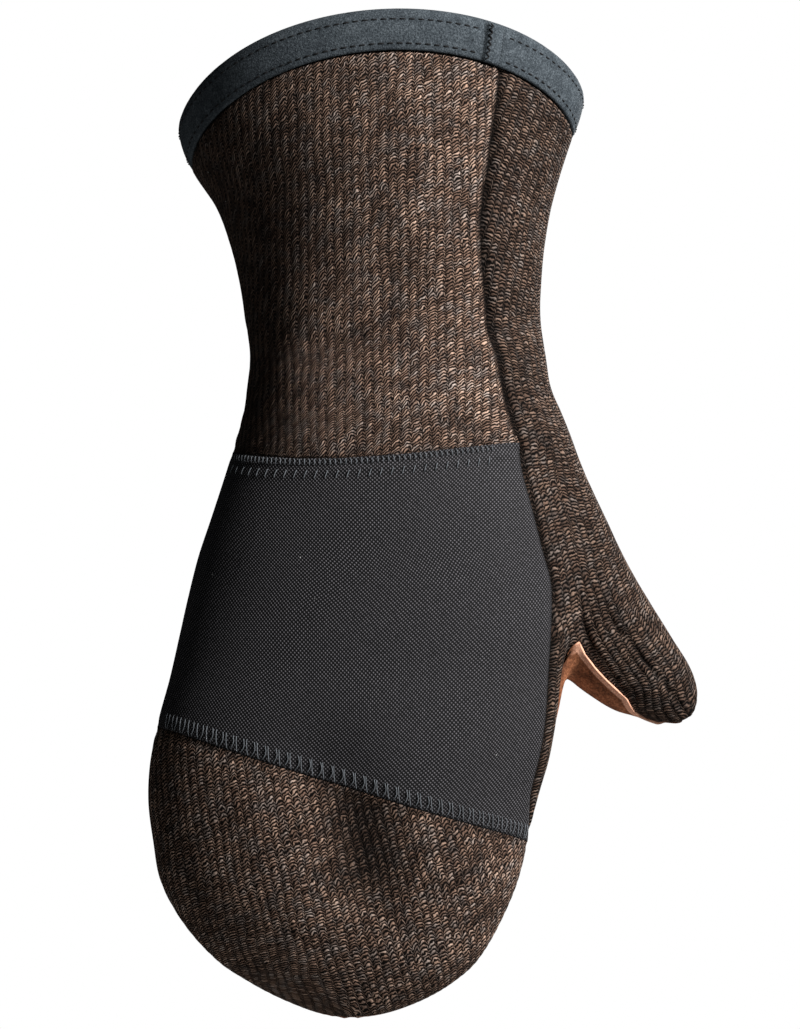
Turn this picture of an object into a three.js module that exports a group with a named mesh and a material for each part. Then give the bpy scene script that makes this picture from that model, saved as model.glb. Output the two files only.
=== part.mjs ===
// A knitted winter mitten for the right hand, with a leather palm, in the shape it has when worn.
// Millimetres, +Z up. The origin is the centre of the cuff's rim. The fingers point down, the back of
// the hand faces -Y and the thumb is on +X. The hollow is open at the cuff.
//
// The outside is one smooth surface: the hand and the thumb are tubes with oval sections, joined by a
// soft blend. Each panel is a grid of points on that surface, thickened inwards, so that its wall is
// an even cloth and its edges meet its neighbours along the seams.

import * as THREE from 'three';

// Driving dimensions
const HAND_LENGTH = 256;
const CUFF_WIDTH = 113;
const CUFF_DEPTH = 80;
const WRIST_WIDTH = 83;
const WRIST_DEPTH = 57;
const HAND_WIDTH = 111;
const HAND_DEPTH = 54;
const HAND_LEAN = 11;
const HAND_BOW = 6;
const RIM_RISE = 18.7;
const RIM_DROP = 3;
const RIM_TILT = 4.5;
const RIM_ROUND = 1.65;

const THUMB_LENGTH = 92;
const THUMB_WIDTH = 33.5;
const THUMB_DEPTH = 30;
const THUMB_ANGLE = 33;
const THUMB_SET_OUT = 35.8;
const THUMB_SET_DOWN = 96;
const THUMB_SET_BACK = 9;
const CROTCH_BLEND = 6;

const KNIT_THICKNESS = 2.5;
const CLOTH_THICKNESS = 1.8;
const LEATHER_THICKNESS = 1.6;
const BINDING_THICKNESS = 1.2;
const BINDING_WIDTH = 11.8;
const BINDING_LAP = 4.6;
const BINDING_LAP_LIFT = 0.9;
const SEAM_GAP = 0.3;
const TAPE_GAP = 0.45;
const PRESS_FADE = 3.5;
const SEAM_ROLL = 1.0;
const SEAM_PRESS = 0.55;

// Where the binding's lap starts, in degrees round the rim, and over how many its edges rise
const LAP_START = 29.5;
const LAP_EDGE = 0.3;

// Where the leather starts and where the two seams of the knuckle panel lie, as shares of the hand's
// length below the rim. The upper seam is lowest at KNUCKLE_TOP_TURN degrees from the middle and rises by
// its reach a quarter turn from there. The lower one slopes down to the thumb side, and rises by its round
// at both sides.
const LEATHER_TOP = 0.25;
const KNUCKLE_TOP_LOWEST = 0.406;
const KNUCKLE_TOP_REACH = 0.026;
const KNUCKLE_TOP_TURN = -20;
const KNUCKLE_END_MIDDLE = 0.757;
const KNUCKLE_END_SLOPE = 0.062;
const KNUCKLE_END_ROUND = 0.0095;

// Where the thumb's tube ends in the crotch, as a share of the thumb's length, and where the gusset's
// columns start to lean from the hand towards the thumb, as a share of their way down to it
const CROTCH_SHARE = 0.618;
const CROTCH_DIP_SHARE = 0.06;
const BRANCH_START = 0.42;
const BRANCH_EASE = 1.6;

// Angles round the thumb in degrees, from the middle of its back: the knit's edge beside the fingers at the
// crotch, how far it drifts from there to the tip, how far it turns under the thumb and between which
// shares of the way, the knit's edge on the palm side, and the middle of the crotch
const KNIT_EDGE = -31;
const KNIT_EDGE_DRIFT = 14;
const KNIT_EDGE_TURN = 52;
const KNIT_TURN_START = 0.56;
const KNIT_TURN_END = 0.9;
const THUMB_PALM_EDGE = 150;
const SADDLE_BACK = 235;
const FULL_TURN = 360;

// Angles round the hand: how far the leather's column at the crotch lies from the palm seam, the share
// of the side where the gusset's strip ends, and the share of the palm that the crotch's columns take
const SADDLE_TURN = 16;
const CORNER_SHARE = 0.2;
const DIP_SHARE = 0.13;

// Over what share of the hand's length a column below the crotch eases to its place, and how strongly
// rows crowd towards a tip
const EASE_SHARE = 0.16;
const TIP_CROWDING = 1.35;

// Size of a cell of the panels' grids, and how close two of its points are when they are one
const CELL = 7.4;
const SAME_PLACE = 0.02;

// How a place is moved to the outside: the step that measures the slope, how often it moves, the furthest
// that one move goes, and the least slope that it reckons with
const SLOPE_STEP = 0.02;
const SETTLE_TURNS = 12;
const SETTLE_REACH = 4;
const LEAST_SLOPE = 0.2;

const radians = THREE.MathUtils.degToRad;
const degrees = THREE.MathUtils.radToDeg;
const mix = THREE.MathUtils.lerp;

// The named sections: half the width, and depth over width
const CUFF = { half: CUFF_WIDTH / 2, flat: CUFF_DEPTH / CUFF_WIDTH };
const WRIST = { half: WRIST_WIDTH / 2, flat: WRIST_DEPTH / WRIST_WIDTH };
const HAND = { half: HAND_WIDTH / 2, flat: HAND_DEPTH / HAND_WIDTH };
const THUMB = { half: THUMB_WIDTH / 2, flat: THUMB_DEPTH / THUMB_WIDTH };

// Sections of the hand, from the rim to the tip. drop: share of the hand's length below the rim.
// like: the named section that half and flat are shares of. shift: place of the middle across, as a
// share of the lean. bow: its place in depth, as a share of the bow.
const HAND_SECTIONS = [
  { drop: 0.0, like: CUFF, half: 1.03, flat: 0.98, shift: -0.1, bow: 0 },
  { drop: 0.065, like: CUFF, half: 0.93, flat: 1.02, shift: -0.09, bow: 0 },
  { drop: 0.108, like: CUFF, half: 0.841, flat: 1.04, shift: 0.09, bow: 0.05 },
  { drop: 0.152, like: WRIST, half: 1.07, flat: 1.08, shift: 0.19, bow: 0.1 },
  { drop: 0.196, like: WRIST, half: 1.024, flat: 1.05, shift: 0.27, bow: 0.2 },
  { drop: 0.24, like: WRIST, half: 1.003, flat: 1.02, shift: 0.35, bow: 0.3 },
  { drop: 0.283, like: WRIST, half: 1.006, flat: 1.0, shift: 0.47, bow: 0.33 },
  { drop: 0.327, like: HAND, half: 0.777, flat: 1.34, shift: 0.48, bow: 0.25 },
  { drop: 0.371, like: HAND, half: 0.82, flat: 1.26, shift: 0.46, bow: 0.1 },
  { drop: 0.415, like: HAND, half: 0.86, flat: 1.2, shift: 0.37, bow: 0 },
  { drop: 0.458, like: HAND, half: 0.901, flat: 1.13, shift: 0.27, bow: -0.1 },
  { drop: 0.502, like: HAND, half: 0.942, flat: 1.07, shift: 0.14, bow: -0.15 },
  { drop: 0.546, like: HAND, half: 0.971, flat: 1.03, shift: 0.03, bow: -0.15 },
  { drop: 0.589, like: HAND, half: 0.989, flat: 1.0, shift: -0.1, bow: -0.1 },
  { drop: 0.633, like: HAND, half: 0.991, flat: 0.98, shift: -0.32, bow: 0 },
  { drop: 0.677, like: HAND, half: 1.0, flat: 0.965, shift: -0.55, bow: 0.12 },
  { drop: 0.721, like: HAND, half: 0.998, flat: 0.945, shift: -0.76, bow: 0.25 },
  { drop: 0.764, like: HAND, half: 0.974, flat: 0.935, shift: -0.94, bow: 0.4 },
  { drop: 0.808, like: HAND, half: 0.939, flat: 0.925, shift: -0.99, bow: 0.55 },
  { drop: 0.852, like: HAND, half: 0.894, flat: 0.905, shift: -1.02, bow: 0.7 },
  { drop: 0.896, like: HAND, half: 0.797, flat: 0.88, shift: -0.96, bow: 0.82 },
  { drop: 0.939, like: HAND, half: 0.648, flat: 0.84, shift: -0.81, bow: 0.92 },
  { drop: 0.961, like: HAND, half: 0.515, flat: 0.81, shift: -0.71, bow: 0.96 },
  { drop: 0.983, like: HAND, half: 0.33, flat: 0.79, shift: -0.66, bow: 0.99 },
  { drop: 1.0, like: HAND, half: 0, flat: 0.78, shift: -0.7, bow: 1.0 },
];

// Sections of the thumb, from inside the hand to the tip. along: share of the thumb's length from its
// root. The other columns are as for the hand, across the thumb's own line, with the shift as a share of
// the thumb's width and the bow as a share of how far back it is set.
const THUMB_SECTIONS = [
  { along: -0.26, like: THUMB, half: 0, flat: 1.1, shift: 0.0, bow: 0.2 },
  { along: -0.1, like: THUMB, half: 0.8, flat: 1.1, shift: 0.0, bow: 0.25 },
  { along: 0.0, like: THUMB, half: 0.96, flat: 1.12, shift: 0.01, bow: 0.35 },
  { along: 0.235, like: THUMB, half: 0.985, flat: 1.1, shift: -0.085, bow: 0.6 },
  { along: 0.363, like: THUMB, half: 0.99, flat: 1.06, shift: -0.135, bow: 0.75 },
  { along: 0.495, like: THUMB, half: 0.97, flat: 1.02, shift: -0.172, bow: 0.9 },
  { along: 0.636, like: THUMB, half: 0.943, flat: 0.97, shift: -0.179, bow: 1.0 },
  { along: 0.712, like: THUMB, half: 0.901, flat: 0.95, shift: -0.161, bow: 1.08 },
  { along: 0.779, like: THUMB, half: 0.83, flat: 0.93, shift: -0.128, bow: 1.15 },
  { along: 0.852, like: THUMB, half: 0.725, flat: 0.91, shift: -0.079, bow: 1.22 },
  { along: 0.916, like: THUMB, half: 0.531, flat: 0.9, shift: -0.015, bow: 1.28 },
  { along: 0.967, like: THUMB, half: 0.325, flat: 0.9, shift: 0.004, bow: 1.32 },
  { along: 1.0, like: THUMB, half: 0, flat: 0.9, shift: -0.009, bow: 1.33 },
];

// Seams down the hand, as angles in degrees round it from the middle of the back towards the thumb.
// front: the back panels' edge at the thumb side. left: their edge at the little finger.
// palm: the edge of the gusset on the palm side, and below the thumb that of the strip.
const SEAMS = [
  { drop: -0.07, front: 35.5, left: -95, palm: 118 },
  { drop: 0.0, front: 36.5, left: -95, palm: 118 },
  { drop: 0.073, front: 38, left: -95, palm: 117 },
  { drop: 0.14, front: 36.5, left: -95, palm: 115 },
  { drop: 0.201, front: 38, left: -95, palm: 112 },
  { drop: 0.272, front: 41.5, left: -86, palm: 110 },
  { drop: 0.305, front: 42.5, left: -92, palm: 110 },
  { drop: 0.348, front: 44.5, left: -84, palm: 110 },
  { drop: 0.379, front: 46.5, left: -94, palm: 110 },
  { drop: 0.458, front: 52.5, left: -95, palm: 110 },
  { drop: 0.5, front: 57, left: -95, palm: 108 },
  { drop: 0.535, front: 62, left: -95, palm: 104 },
  { drop: 0.592, front: 63.5, left: -95, palm: 92 },
  { drop: 0.642, front: 68.5, left: -95, palm: 96 },
  { drop: 0.692, front: 73, left: -95, palm: 97 },
  { drop: 0.76, front: 77, left: -95, palm: 97 },
  { drop: 0.82, front: 91.5, left: -95, palm: 94 },
  { drop: 1.0, front: 93, left: -93, palm: 93 },
];

// Soft folds and dents on the back of the hand. Each is a valley from one place to another, given as
// shares of the hand's width across and of its length down. deep is a share of the hand's depth and
// wide of its width. A negative depth is a swelling. They fade out between two distances in front of the
// middle, as shares of the hand's depth, so that the palm side has none.
const FOLDS_START = -0.1;
const FOLDS_FULL = 0.25;
const HAND_FOLDS = [
  { across: -0.13, down: 0.285, toAcross: 0.05, toDown: 0.215, wide: 0.075, deep: 0.035 },
  { across: -0.22, down: 0.26, toAcross: -0.22, toDown: 0.3, wide: 0.16, deep: -0.035 },
  { across: 0.41, down: 0.225, toAcross: 0.3, toDown: 0.26, wide: 0.045, deep: 0.03 },
  { across: -0.14, down: 0.745, toAcross: -0.01, toDown: 0.87, wide: 0.12, deep: 0.05 },
  { across: -0.3, down: 0.47, toAcross: 0.25, toDown: 0.46, wide: 0.16, deep: -0.02 },
];

// Folds of the thumb, as shares of its width across and of its length along its own line
const THUMB_FOLDS = [
  { across: 0.33, down: 0.64, toAcross: 0.22, toDown: 0.96, wide: 0.09, deep: 0.045 },
  { across: -0.1, down: 0.6, toAcross: -0.2, toDown: 0.86, wide: 0.09, deep: 0.04 },
  { across: 0.02, down: 0.14, toAcross: 0.25, toDown: 0.5, wide: 0.2, deep: 0.03 },
];

// A smooth curve through one column of a table: a cubic between rows, each row's slope being that of
// the line between its two neighbours, and a straight line past the ends
function curve(rows, key, value) {
  const places = rows.map((row) => row[key]);
  const values = rows.map(value);
  const last = places.length - 1;
  const slopes = places.map((_, i) => {
    const before = Math.max(i - 1, 0);
    const after = Math.min(i + 1, last);
    return (values[after] - values[before]) / (places[after] - places[before]);
  });
  return (place) => {
    if (place <= places[0]) return values[0] + slopes[0] * (place - places[0]);
    if (place >= places[last]) return values[last] + slopes[last] * (place - places[last]);
    let i = 0;
    while (place > places[i + 1]) i += 1;
    const span = places[i + 1] - places[i];
    const t = (place - places[i]) / span;
    const rest = 1 - t;
    const start = values[i] * (1 + 2 * t) + slopes[i] * span * t;
    const end = values[i + 1] * (3 - 2 * t) - slopes[i + 1] * span * rest;
    return start * rest * rest + end * t * t;
  };
}

// An oval tube: its field is below zero inside and grows outwards about as fast as distance does
function tube(rows, key, length, shiftSize, bowSize) {
  const square = curve(rows, key, (row) => (row.half * row.like.half) ** 2);
  const flat = curve(rows, key, (row) => row.flat * row.like.flat);
  const shift = curve(rows, key, (row) => row.shift * shiftSize);
  const bow = curve(rows, key, (row) => row.bow * bowSize);
  const step = 0.5 / length;
  return {
    field(across, deep, down) {
      const share = down / length;
      const size = square(share);
      const taper = (square(share + step) - square(share - step)) / (2 * step * length);
      const round = 1 / flat(share);
      const x = across - shift(share);
      const y = (deep - bow(share)) * round;
      const steep = 4 * x * x + 4 * y * y * round * round + taper * taper + Math.max(size, 0);
      return (x * x + y * y - size) / Math.sqrt(steep);
    },
    point(angle, down) {
      const share = down / length;
      const half = Math.sqrt(Math.max(square(share), 0));
      const across = shift(share) + half * Math.sin(radians(angle));
      const deep = bow(share) - half * flat(share) * Math.cos(radians(angle));
      return [across, deep];
    },
    angle(across, deep, down) {
      const share = down / length;
      const x = across - shift(share);
      const y = (deep - bow(share)) / flat(share);
      return degrees(Math.atan2(x, -y));
    },
  };
}

const hand = tube(HAND_SECTIONS, 'drop', HAND_LENGTH, HAND_LEAN, HAND_BOW);
const thumb = tube(THUMB_SECTIONS, 'along', THUMB_LENGTH, THUMB_WIDTH, THUMB_SET_BACK);
const LEAN_SIN = Math.sin(radians(THUMB_ANGLE));
const LEAN_COS = Math.cos(radians(THUMB_ANGLE));

function handPoint(angle, z) {
  const [x, y] = hand.point(angle, -z);
  return new THREE.Vector3(x, y, z);
}

function thumbPoint(angle, along) {
  const [across, deep] = thumb.point(angle, along);
  const x = THUMB_SET_OUT + LEAN_SIN * along + LEAN_COS * across;
  const z = -THUMB_SET_DOWN - LEAN_COS * along + LEAN_SIN * across;
  return new THREE.Vector3(x, deep, z);
}

// How far a place is inside a fold: the fold's depth, fading as a bell with distance from its line
function foldDepth(folds, across, down, width, length, depth) {
  let total = 0;
  for (const fold of folds) {
    const startAcross = fold.across * width;
    const startDown = fold.down * length;
    const runAcross = fold.toAcross * width - startAcross;
    const runDown = fold.toDown * length - startDown;
    const away = [across - startAcross, down - startDown];
    const run = runAcross * runAcross + runDown * runDown;
    const t = THREE.MathUtils.clamp((away[0] * runAcross + away[1] * runDown) / run, 0, 1);
    const distance = Math.hypot(away[0] - t * runAcross, away[1] - t * runDown) / (fold.wide * width);
    total += fold.deep * depth * Math.exp(-distance * distance);
  }
  return total;
}

// The outside of the mitten is where this field is zero
function field(p) {
  const dx = p.x - THUMB_SET_OUT;
  const dz = p.z + THUMB_SET_DOWN;
  const along = LEAN_SIN * dx - LEAN_COS * dz;
  const across = LEAN_COS * dx + LEAN_SIN * dz;
  const toHand = hand.field(p.x, p.y, -p.z);
  const toThumb = thumb.field(across, p.y, along);
  const overlap = Math.max(CROTCH_BLEND - Math.abs(toHand - toThumb), 0) / CROTCH_BLEND;
  const joined = Math.min(toHand, toThumb) - (overlap * overlap * CROTCH_BLEND) / 4;
  const back = THREE.MathUtils.smoothstep(-p.y, FOLDS_START * HAND_DEPTH, FOLDS_FULL * HAND_DEPTH);
  const onHand = foldDepth(HAND_FOLDS, p.x, -p.z, HAND_WIDTH, HAND_LENGTH, HAND_DEPTH);
  const onThumb = foldDepth(THUMB_FOLDS, across, along, THUMB_WIDTH, THUMB_LENGTH, THUMB_DEPTH);
  return joined + back * (onHand + onThumb);
}

// The field's slope at a place, from the difference across a small step each way
function slope(p) {
  const out = new THREE.Vector3();
  for (const axis of ['x', 'y', 'z']) {
    const ahead = p.clone();
    const behind = p.clone();
    ahead[axis] += SLOPE_STEP;
    behind[axis] -= SLOPE_STEP;
    out[axis] = (field(ahead) - field(behind)) / (2 * SLOPE_STEP);
  }
  return out;
}

// Moves a place to the nearest point of the outside by repeated steps along the slope
function onSurface(guess) {
  const p = guess.clone();
  for (let turn = 0; turn < SETTLE_TURNS; turn += 1) {
    const g = slope(p);
    const steep = Math.max(g.length(), LEAST_SLOPE);
    const move = THREE.MathUtils.clamp(field(p) / steep, -SETTLE_REACH, SETTLE_REACH);
    p.addScaledVector(g, -move / steep);
  }
  return p;
}

// The rim's height: high over the back of the hand, low over the palm, and a little higher at the thumb
function rimHeight(angle) {
  const facing = Math.cos(radians(angle));
  const rise = facing > 0 ? RIM_RISE : -RIM_DROP;
  return rise * Math.abs(facing) ** RIM_ROUND + RIM_TILT * Math.sin(radians(angle));
}

const seamFront = curve(SEAMS, 'drop', (row) => row.front);
const seamLeft = curve(SEAMS, 'drop', (row) => row.left);
const seamPalm = curve(SEAMS, 'drop', (row) => row.palm);
const atDrop = (seam) => (z) => seam(-z / HAND_LENGTH);
const front = atDrop(seamFront);
const left = atDrop(seamLeft);
const palm = atDrop(seamPalm);

// Seams across the hand, as heights
const TAPE_TOTAL = 2 * BINDING_THICKNESS + 2 * TAPE_GAP + KNIT_THICKNESS;
const TAPE_PRESS = BINDING_THICKNESS + TAPE_GAP;
const PRESS_REACH = BINDING_WIDTH + 2 * TAPE_GAP;
const panelTop = (angle) => rimHeight(angle) - TAPE_TOTAL / 2;
const underTape = (angle) => rimHeight(angle) - PRESS_REACH;
const leatherTop = () => -LEATHER_TOP * HAND_LENGTH;
const knuckleTop = (angle) => {
  const side = Math.sin(radians(angle - KNUCKLE_TOP_TURN)) ** 2;
  return (KNUCKLE_TOP_REACH * side - KNUCKLE_TOP_LOWEST) * HAND_LENGTH;
};
const knuckleEnd = (angle) => {
  const side = Math.sin(radians(angle));
  return -(KNUCKLE_END_MIDDLE + KNUCKLE_END_SLOPE * side - KNUCKLE_END_ROUND * side * side) * HAND_LENGTH;
};
const tipLevel = () => -HAND_LENGTH;

// A grid of points on the outside: place(u, v) gives each guess, with u across and v down
function grid(columns, rows, place) {
  const lines = [];
  for (let j = 0; j <= rows; j += 1) {
    const line = [];
    for (let i = 0; i <= columns; i += 1) line.push(onSurface(place(i / columns, j / rows)));
    lines.push(line);
  }
  return lines;
}

// Rows of a grid laid one under the other: the last row of each is the first row of the next
const stack = (...grids) => grids.flatMap((lines, k) => (k === 0 ? lines : lines.slice(1)));

// How many cells of the usual size a length takes
const cells = (length) => Math.max(2, Math.round(length / CELL));

// Guess for a band of the hand between two seams down it and two levels
function band(fromAngle, toAngle, fromLevel, toLevel) {
  return (u, v) => {
    let z = mix(fromLevel(0), toLevel(0), v);
    let angle = 0;
    for (let turn = 0; turn < 4; turn += 1) {
      angle = mix(fromAngle(z), toAngle(z), u);
      z = mix(fromLevel(angle), toLevel(angle), v);
    }
    return handPoint(angle, z);
  };
}

// The crotch line runs round the thumb at CROTCH_ALONG, and dips where it crosses between the thumb and
// the fingers, from the knit's edge in front to SADDLE_BACK on the palm side
const CROTCH_ALONG = CROTCH_SHARE * THUMB_LENGTH;
const CROTCH_DIP = CROTCH_DIP_SHARE * THUMB_LENGTH;
const saddleDip = (angle) => {
  const t = (angle - SADDLE_BACK) / (FULL_TURN + KNIT_EDGE - SADDLE_BACK);
  return t > 0 && t < 1 ? CROTCH_DIP * Math.sin(Math.PI * t) : 0;
};
const crotchLine = (angle) => thumbPoint(angle, CROTCH_ALONG + saddleDip(angle));

// The knit's edge on the thumb drifts a little, and then turns under the thumb before the tip
const knitEdge = (along) => {
  const t = Math.max(along - CROTCH_ALONG, 0) / (THUMB_LENGTH - CROTCH_ALONG);
  const turned = THREE.MathUtils.smoothstep(t, KNIT_TURN_START, KNIT_TURN_END);
  return KNIT_EDGE - KNIT_EDGE_DRIFT * t - KNIT_EDGE_TURN * turned;
};

// Guess for a line that starts at the rim, at an angle of the hand, and ends on the crotch line, at an
// angle of the thumb. It leaves the hand for the thumb below the leather's top.
function branch(handAngle, thumbAngle) {
  const end = crotchLine(thumbAngle);
  const topLevel = underTape(handAngle(0));
  return (v) => {
    const z = mix(topLevel, end.z, v);
    const share = (Math.max(v - BRANCH_START, 0) / (1 - BRANCH_START)) ** BRANCH_EASE;
    return handPoint(handAngle(z), z).lerp(end.clone().setZ(z), share);
  };
}

// The corner column splits the gusset into the strip side and the thumb side, the saddle column splits
// the leather into the thumb side and the fingers' side
const cornerAngle = (z) => mix(front(z), palm(z), CORNER_SHARE);
const saddleAngle = (z) => palm(z) + SADDLE_TURN;

// Rows crowd a little towards a tip
const tipShare = (t) => 1 - (1 - t) ** TIP_CROWDING;

// One side of the gusset or of the leather as a fan of branches, above or below the leather's top
function fan(fromHand, toHand, fromThumb, toThumb) {
  const line = (u) => {
    const handAngle = (z) => mix(fromHand(z), toHand(z), u);
    const thumbAngle = mix(fromThumb, toThumb, u);
    const top = underTape(handAngle(0));
    const turn = (leatherTop() - top) / (crotchLine(thumbAngle).z - top);
    return { place: branch(handAngle, thumbAngle), turn };
  };
  return {
    upper: (u, v) => line(u).place(line(u).turn * v),
    lower: (u, v) => line(u).place(mix(line(u).turn, 1, v)),
  };
}

// A panel before it has thickness: the points of its grids with equal ones merged, and its faces
class Sheet {
  constructor() {
    this.points = [];
    this.faces = [];
  }

  vertex(p) {
    const same = this.points.findIndex((other) => other.distanceToSquared(p) < SAME_PLACE ** 2);
    return same >= 0 ? same : this.points.push(p) - 1;
  }

  add(lines) {
    const ids = lines.map((line) => line.map((p) => this.vertex(p)));
    for (let j = 0; j + 1 < ids.length; j += 1) {
      for (let i = 0; i + 1 < ids[j].length; i += 1) {
        const corners = [ids[j][i], ids[j + 1][i], ids[j + 1][i + 1], ids[j][i + 1]];
        const ring = corners.filter((id, k) => id !== corners[(k + 1) % 4]);
        if (ring.length >= 3) this.faces.push(ring);
      }
    }
    return this;
  }

  // Edges that belong to one face only, as pairs that run round the panel the way its faces turn
  border() {
    const seen = new Map();
    for (const face of this.faces) {
      face.forEach((id, k) => {
        const next = face[(k + 1) % face.length];
        const opposite = `${next},${id}`;
        if (seen.has(opposite)) seen.delete(opposite);
        else seen.set(`${id},${next}`, [id, next]);
      });
    }
    return [...seen.values()];
  }
}

// A closed body from triangles given as triples of places
function body(triangles) {
  const positions = triangles.flat().flatMap((p) => [p.x, p.y, p.z]);
  const geometry = new THREE.BufferGeometry();
  geometry.setAttribute('position', new THREE.Float32BufferAttribute(positions, 3));
  geometry.computeVertexNormals();
  return geometry;
}

// Under the binding the knit is pressed in to make room for the tape
function pressedIn(p) {
  const angle = hand.angle(p.x, p.y, -p.z);
  const below = rimHeight(angle) - p.z;
  return TAPE_PRESS * (1 - THREE.MathUtils.smoothstep(below, PRESS_REACH, PRESS_REACH + PRESS_FADE));
}

// Thickens a sheet inwards into one closed wall. Its border is drawn in by half the seam gap, and
// rolled inwards and pressed thinner as cloth is at a seam, except under the binding.
function wall(sheet, thickness) {
  const border = sheet.border();
  const normals = sheet.points.map((p) => slope(p).normalize());
  const sideways = sheet.points.map(() => new THREE.Vector3());
  for (const [a, b] of border) {
    const run = sheet.points[b].clone().sub(sheet.points[a]).normalize();
    for (const id of [a, b]) sideways[id].add(normals[id].clone().cross(run).normalize());
  }
  const pressed = sheet.points.map((p) => (p.z > leatherTop() ? pressedIn(p) : 0));
  const atSeam = sheet.points.map((_, id) => sideways[id].lengthSq() > 0 && pressed[id] === 0);
  const outer = sheet.points.map((p, id) => {
    const size = sideways[id].lengthSq();
    const depth = pressed[id] + (atSeam[id] ? SEAM_ROLL : 0);
    const moved = p.clone().addScaledVector(normals[id], -depth);
    return size > 0 ? moved.addScaledVector(sideways[id], SEAM_GAP / size) : moved;
  });
  const inner = outer.map((p, id) => {
    const depth = thickness * (atSeam[id] ? SEAM_PRESS : 1);
    return p.clone().addScaledVector(normals[id], -depth);
  });
  const triangles = [];
  for (const face of sheet.faces) {
    for (let k = 1; k + 1 < face.length; k += 1) {
      triangles.push([outer[face[0]], outer[face[k]], outer[face[k + 1]]]);
      triangles.push([inner[face[0]], inner[face[k + 1]], inner[face[k]]]);
    }
  }
  for (const [a, b] of border) {
    triangles.push([outer[a], inner[a], outer[b]]);
    triangles.push([outer[b], inner[a], inner[b]]);
  }
  return body(triangles);
}

// Lengths of cloth round the cuff's back and palm sides, half the hand and the gusset's side of the thumb,
// as shares of the width there
const BACK_ROUND = 0.92;
const PALM_ROUND = 1.06;
const HAND_ROUND = 1.1;
const THUMB_ROUND = 1.5;

// Rows of a panel under the binding, from there to the leather's top, on to the knuckle panel, from
// there to the crotch line, to the strip's end, to the tip, and along the thumb
const SADDLE_LEVEL = crotchLine(SADDLE_BACK).z;
const SIDE_LEVEL = band(left, left, leatherTop, knuckleTop)(0, 1).z;
const TAPE_ROWS = 2;
const UPPER_ROWS = cells(LEATHER_TOP * HAND_LENGTH - BINDING_WIDTH);
const LOWER_ROWS = cells(leatherTop() - SIDE_LEVEL) + 1;
const BRANCH_ROWS = LOWER_ROWS + cells(SIDE_LEVEL - SADDLE_LEVEL);
const STRIP_ROWS = cells(SADDLE_LEVEL - knuckleEnd(90));
const TIP_ROWS = cells((1 - KNUCKLE_END_MIDDLE) * HAND_LENGTH) + 1;
const THUMB_ROWS = cells(THUMB_LENGTH - CROTCH_ALONG) + 1;

// The cuff panel: down the back to the knuckle panel, and round the little-finger side to the gusset's
// edge on the palm side, where it ends at the leather
function cuffPanel() {
  const palmEdge = (z) => palm(z) - FULL_TURN;
  const upper = (from, to, columns) => stack(
    grid(columns, TAPE_ROWS, band(from, to, panelTop, underTape)),
    grid(columns, UPPER_ROWS, band(from, to, underTape, leatherTop)),
  );
  const backColumns = cells(CUFF_WIDTH * BACK_ROUND);
  const palmColumns = cells(CUFF_WIDTH * PALM_ROUND);
  const low = grid(backColumns, LOWER_ROWS, band(left, front, leatherTop, knuckleTop));
  return new Sheet().add(stack(upper(left, front, backColumns), low)).add(upper(palmEdge, left, palmColumns));
}

function knucklePanel() {
  const rows = cells(knuckleTop(90) - knuckleEnd(90));
  const columns = cells(HAND_WIDTH * HAND_ROUND);
  return new Sheet().add(grid(columns, rows, band(left, front, knuckleTop, knuckleEnd)));
}

const tipBand = band(left, palm, knuckleEnd, tipLevel);
const tipPlace = (u, v) => tipBand(u, tipShare(v));

function fingertipPanel() {
  return new Sheet().add(grid(cells(HAND_WIDTH * HAND_ROUND), TIP_ROWS, tipPlace));
}

// Down the fingers, a line that starts below the crotch eases from its own angle to its share of the
// way round the palm side, over this share of the hand's length
const EASE = EASE_SHARE * HAND_LENGTH;
const easedFrom = (level, z) => THREE.MathUtils.smoothstep(-z, -level, EASE - level);

// The line between the strip and the leather, down the fingers from the corner of the crotch
const CORNER = onSurface(crotchLine(KNIT_EDGE));
const handTurn = (p) => hand.angle(p.x, p.y, -p.z);
const fingerEdge = (z) => mix(handTurn(CORNER), palm(z), easedFrom(CORNER.z, z));

// The side gusset: the side of the cuff, the thumb's back, and the strip beside the fingers
function sideGusset() {
  const stripColumns = 2;
  const sideColumns = cells(THUMB_WIDTH * THUMB_ROUND);
  const side = fan(cornerAngle, palm, KNIT_EDGE, THUMB_PALM_EDGE);
  const strip = (line) => (u, v) => {
    const edge = onSurface(line(0, v));
    const seam = handPoint(front(edge.z), edge.z);
    return seam.lerp(edge, u);
  };
  const stripEnd = tipPlace(1, 0).z;
  const lowStrip = (u, v) => {
    const z = mix(CORNER.z, stripEnd, v);
    return v === 0 ? strip(side.lower)(u, 1) : handPoint(mix(front(z), fingerEdge(z), u), z);
  };
  const thumbBack = (u, v) => {
    const along = mix(CROTCH_ALONG, THUMB_LENGTH, tipShare(v));
    return thumbPoint(mix(knitEdge(along), THUMB_PALM_EDGE, u), along);
  };
  return new Sheet()
    .add(stack(
      grid(stripColumns, TAPE_ROWS, band(front, cornerAngle, panelTop, underTape)),
      grid(stripColumns, UPPER_ROWS, strip(side.upper)),
      grid(stripColumns, BRANCH_ROWS, strip(side.lower)),
      grid(stripColumns, STRIP_ROWS, lowStrip),
    ))
    .add(stack(
      grid(sideColumns, TAPE_ROWS, band(cornerAngle, palm, panelTop, underTape)),
      grid(sideColumns, UPPER_ROWS, side.upper),
      grid(sideColumns, BRANCH_ROWS, side.lower),
      grid(sideColumns, THUMB_ROWS, thumbBack),
    ));
}

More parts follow.
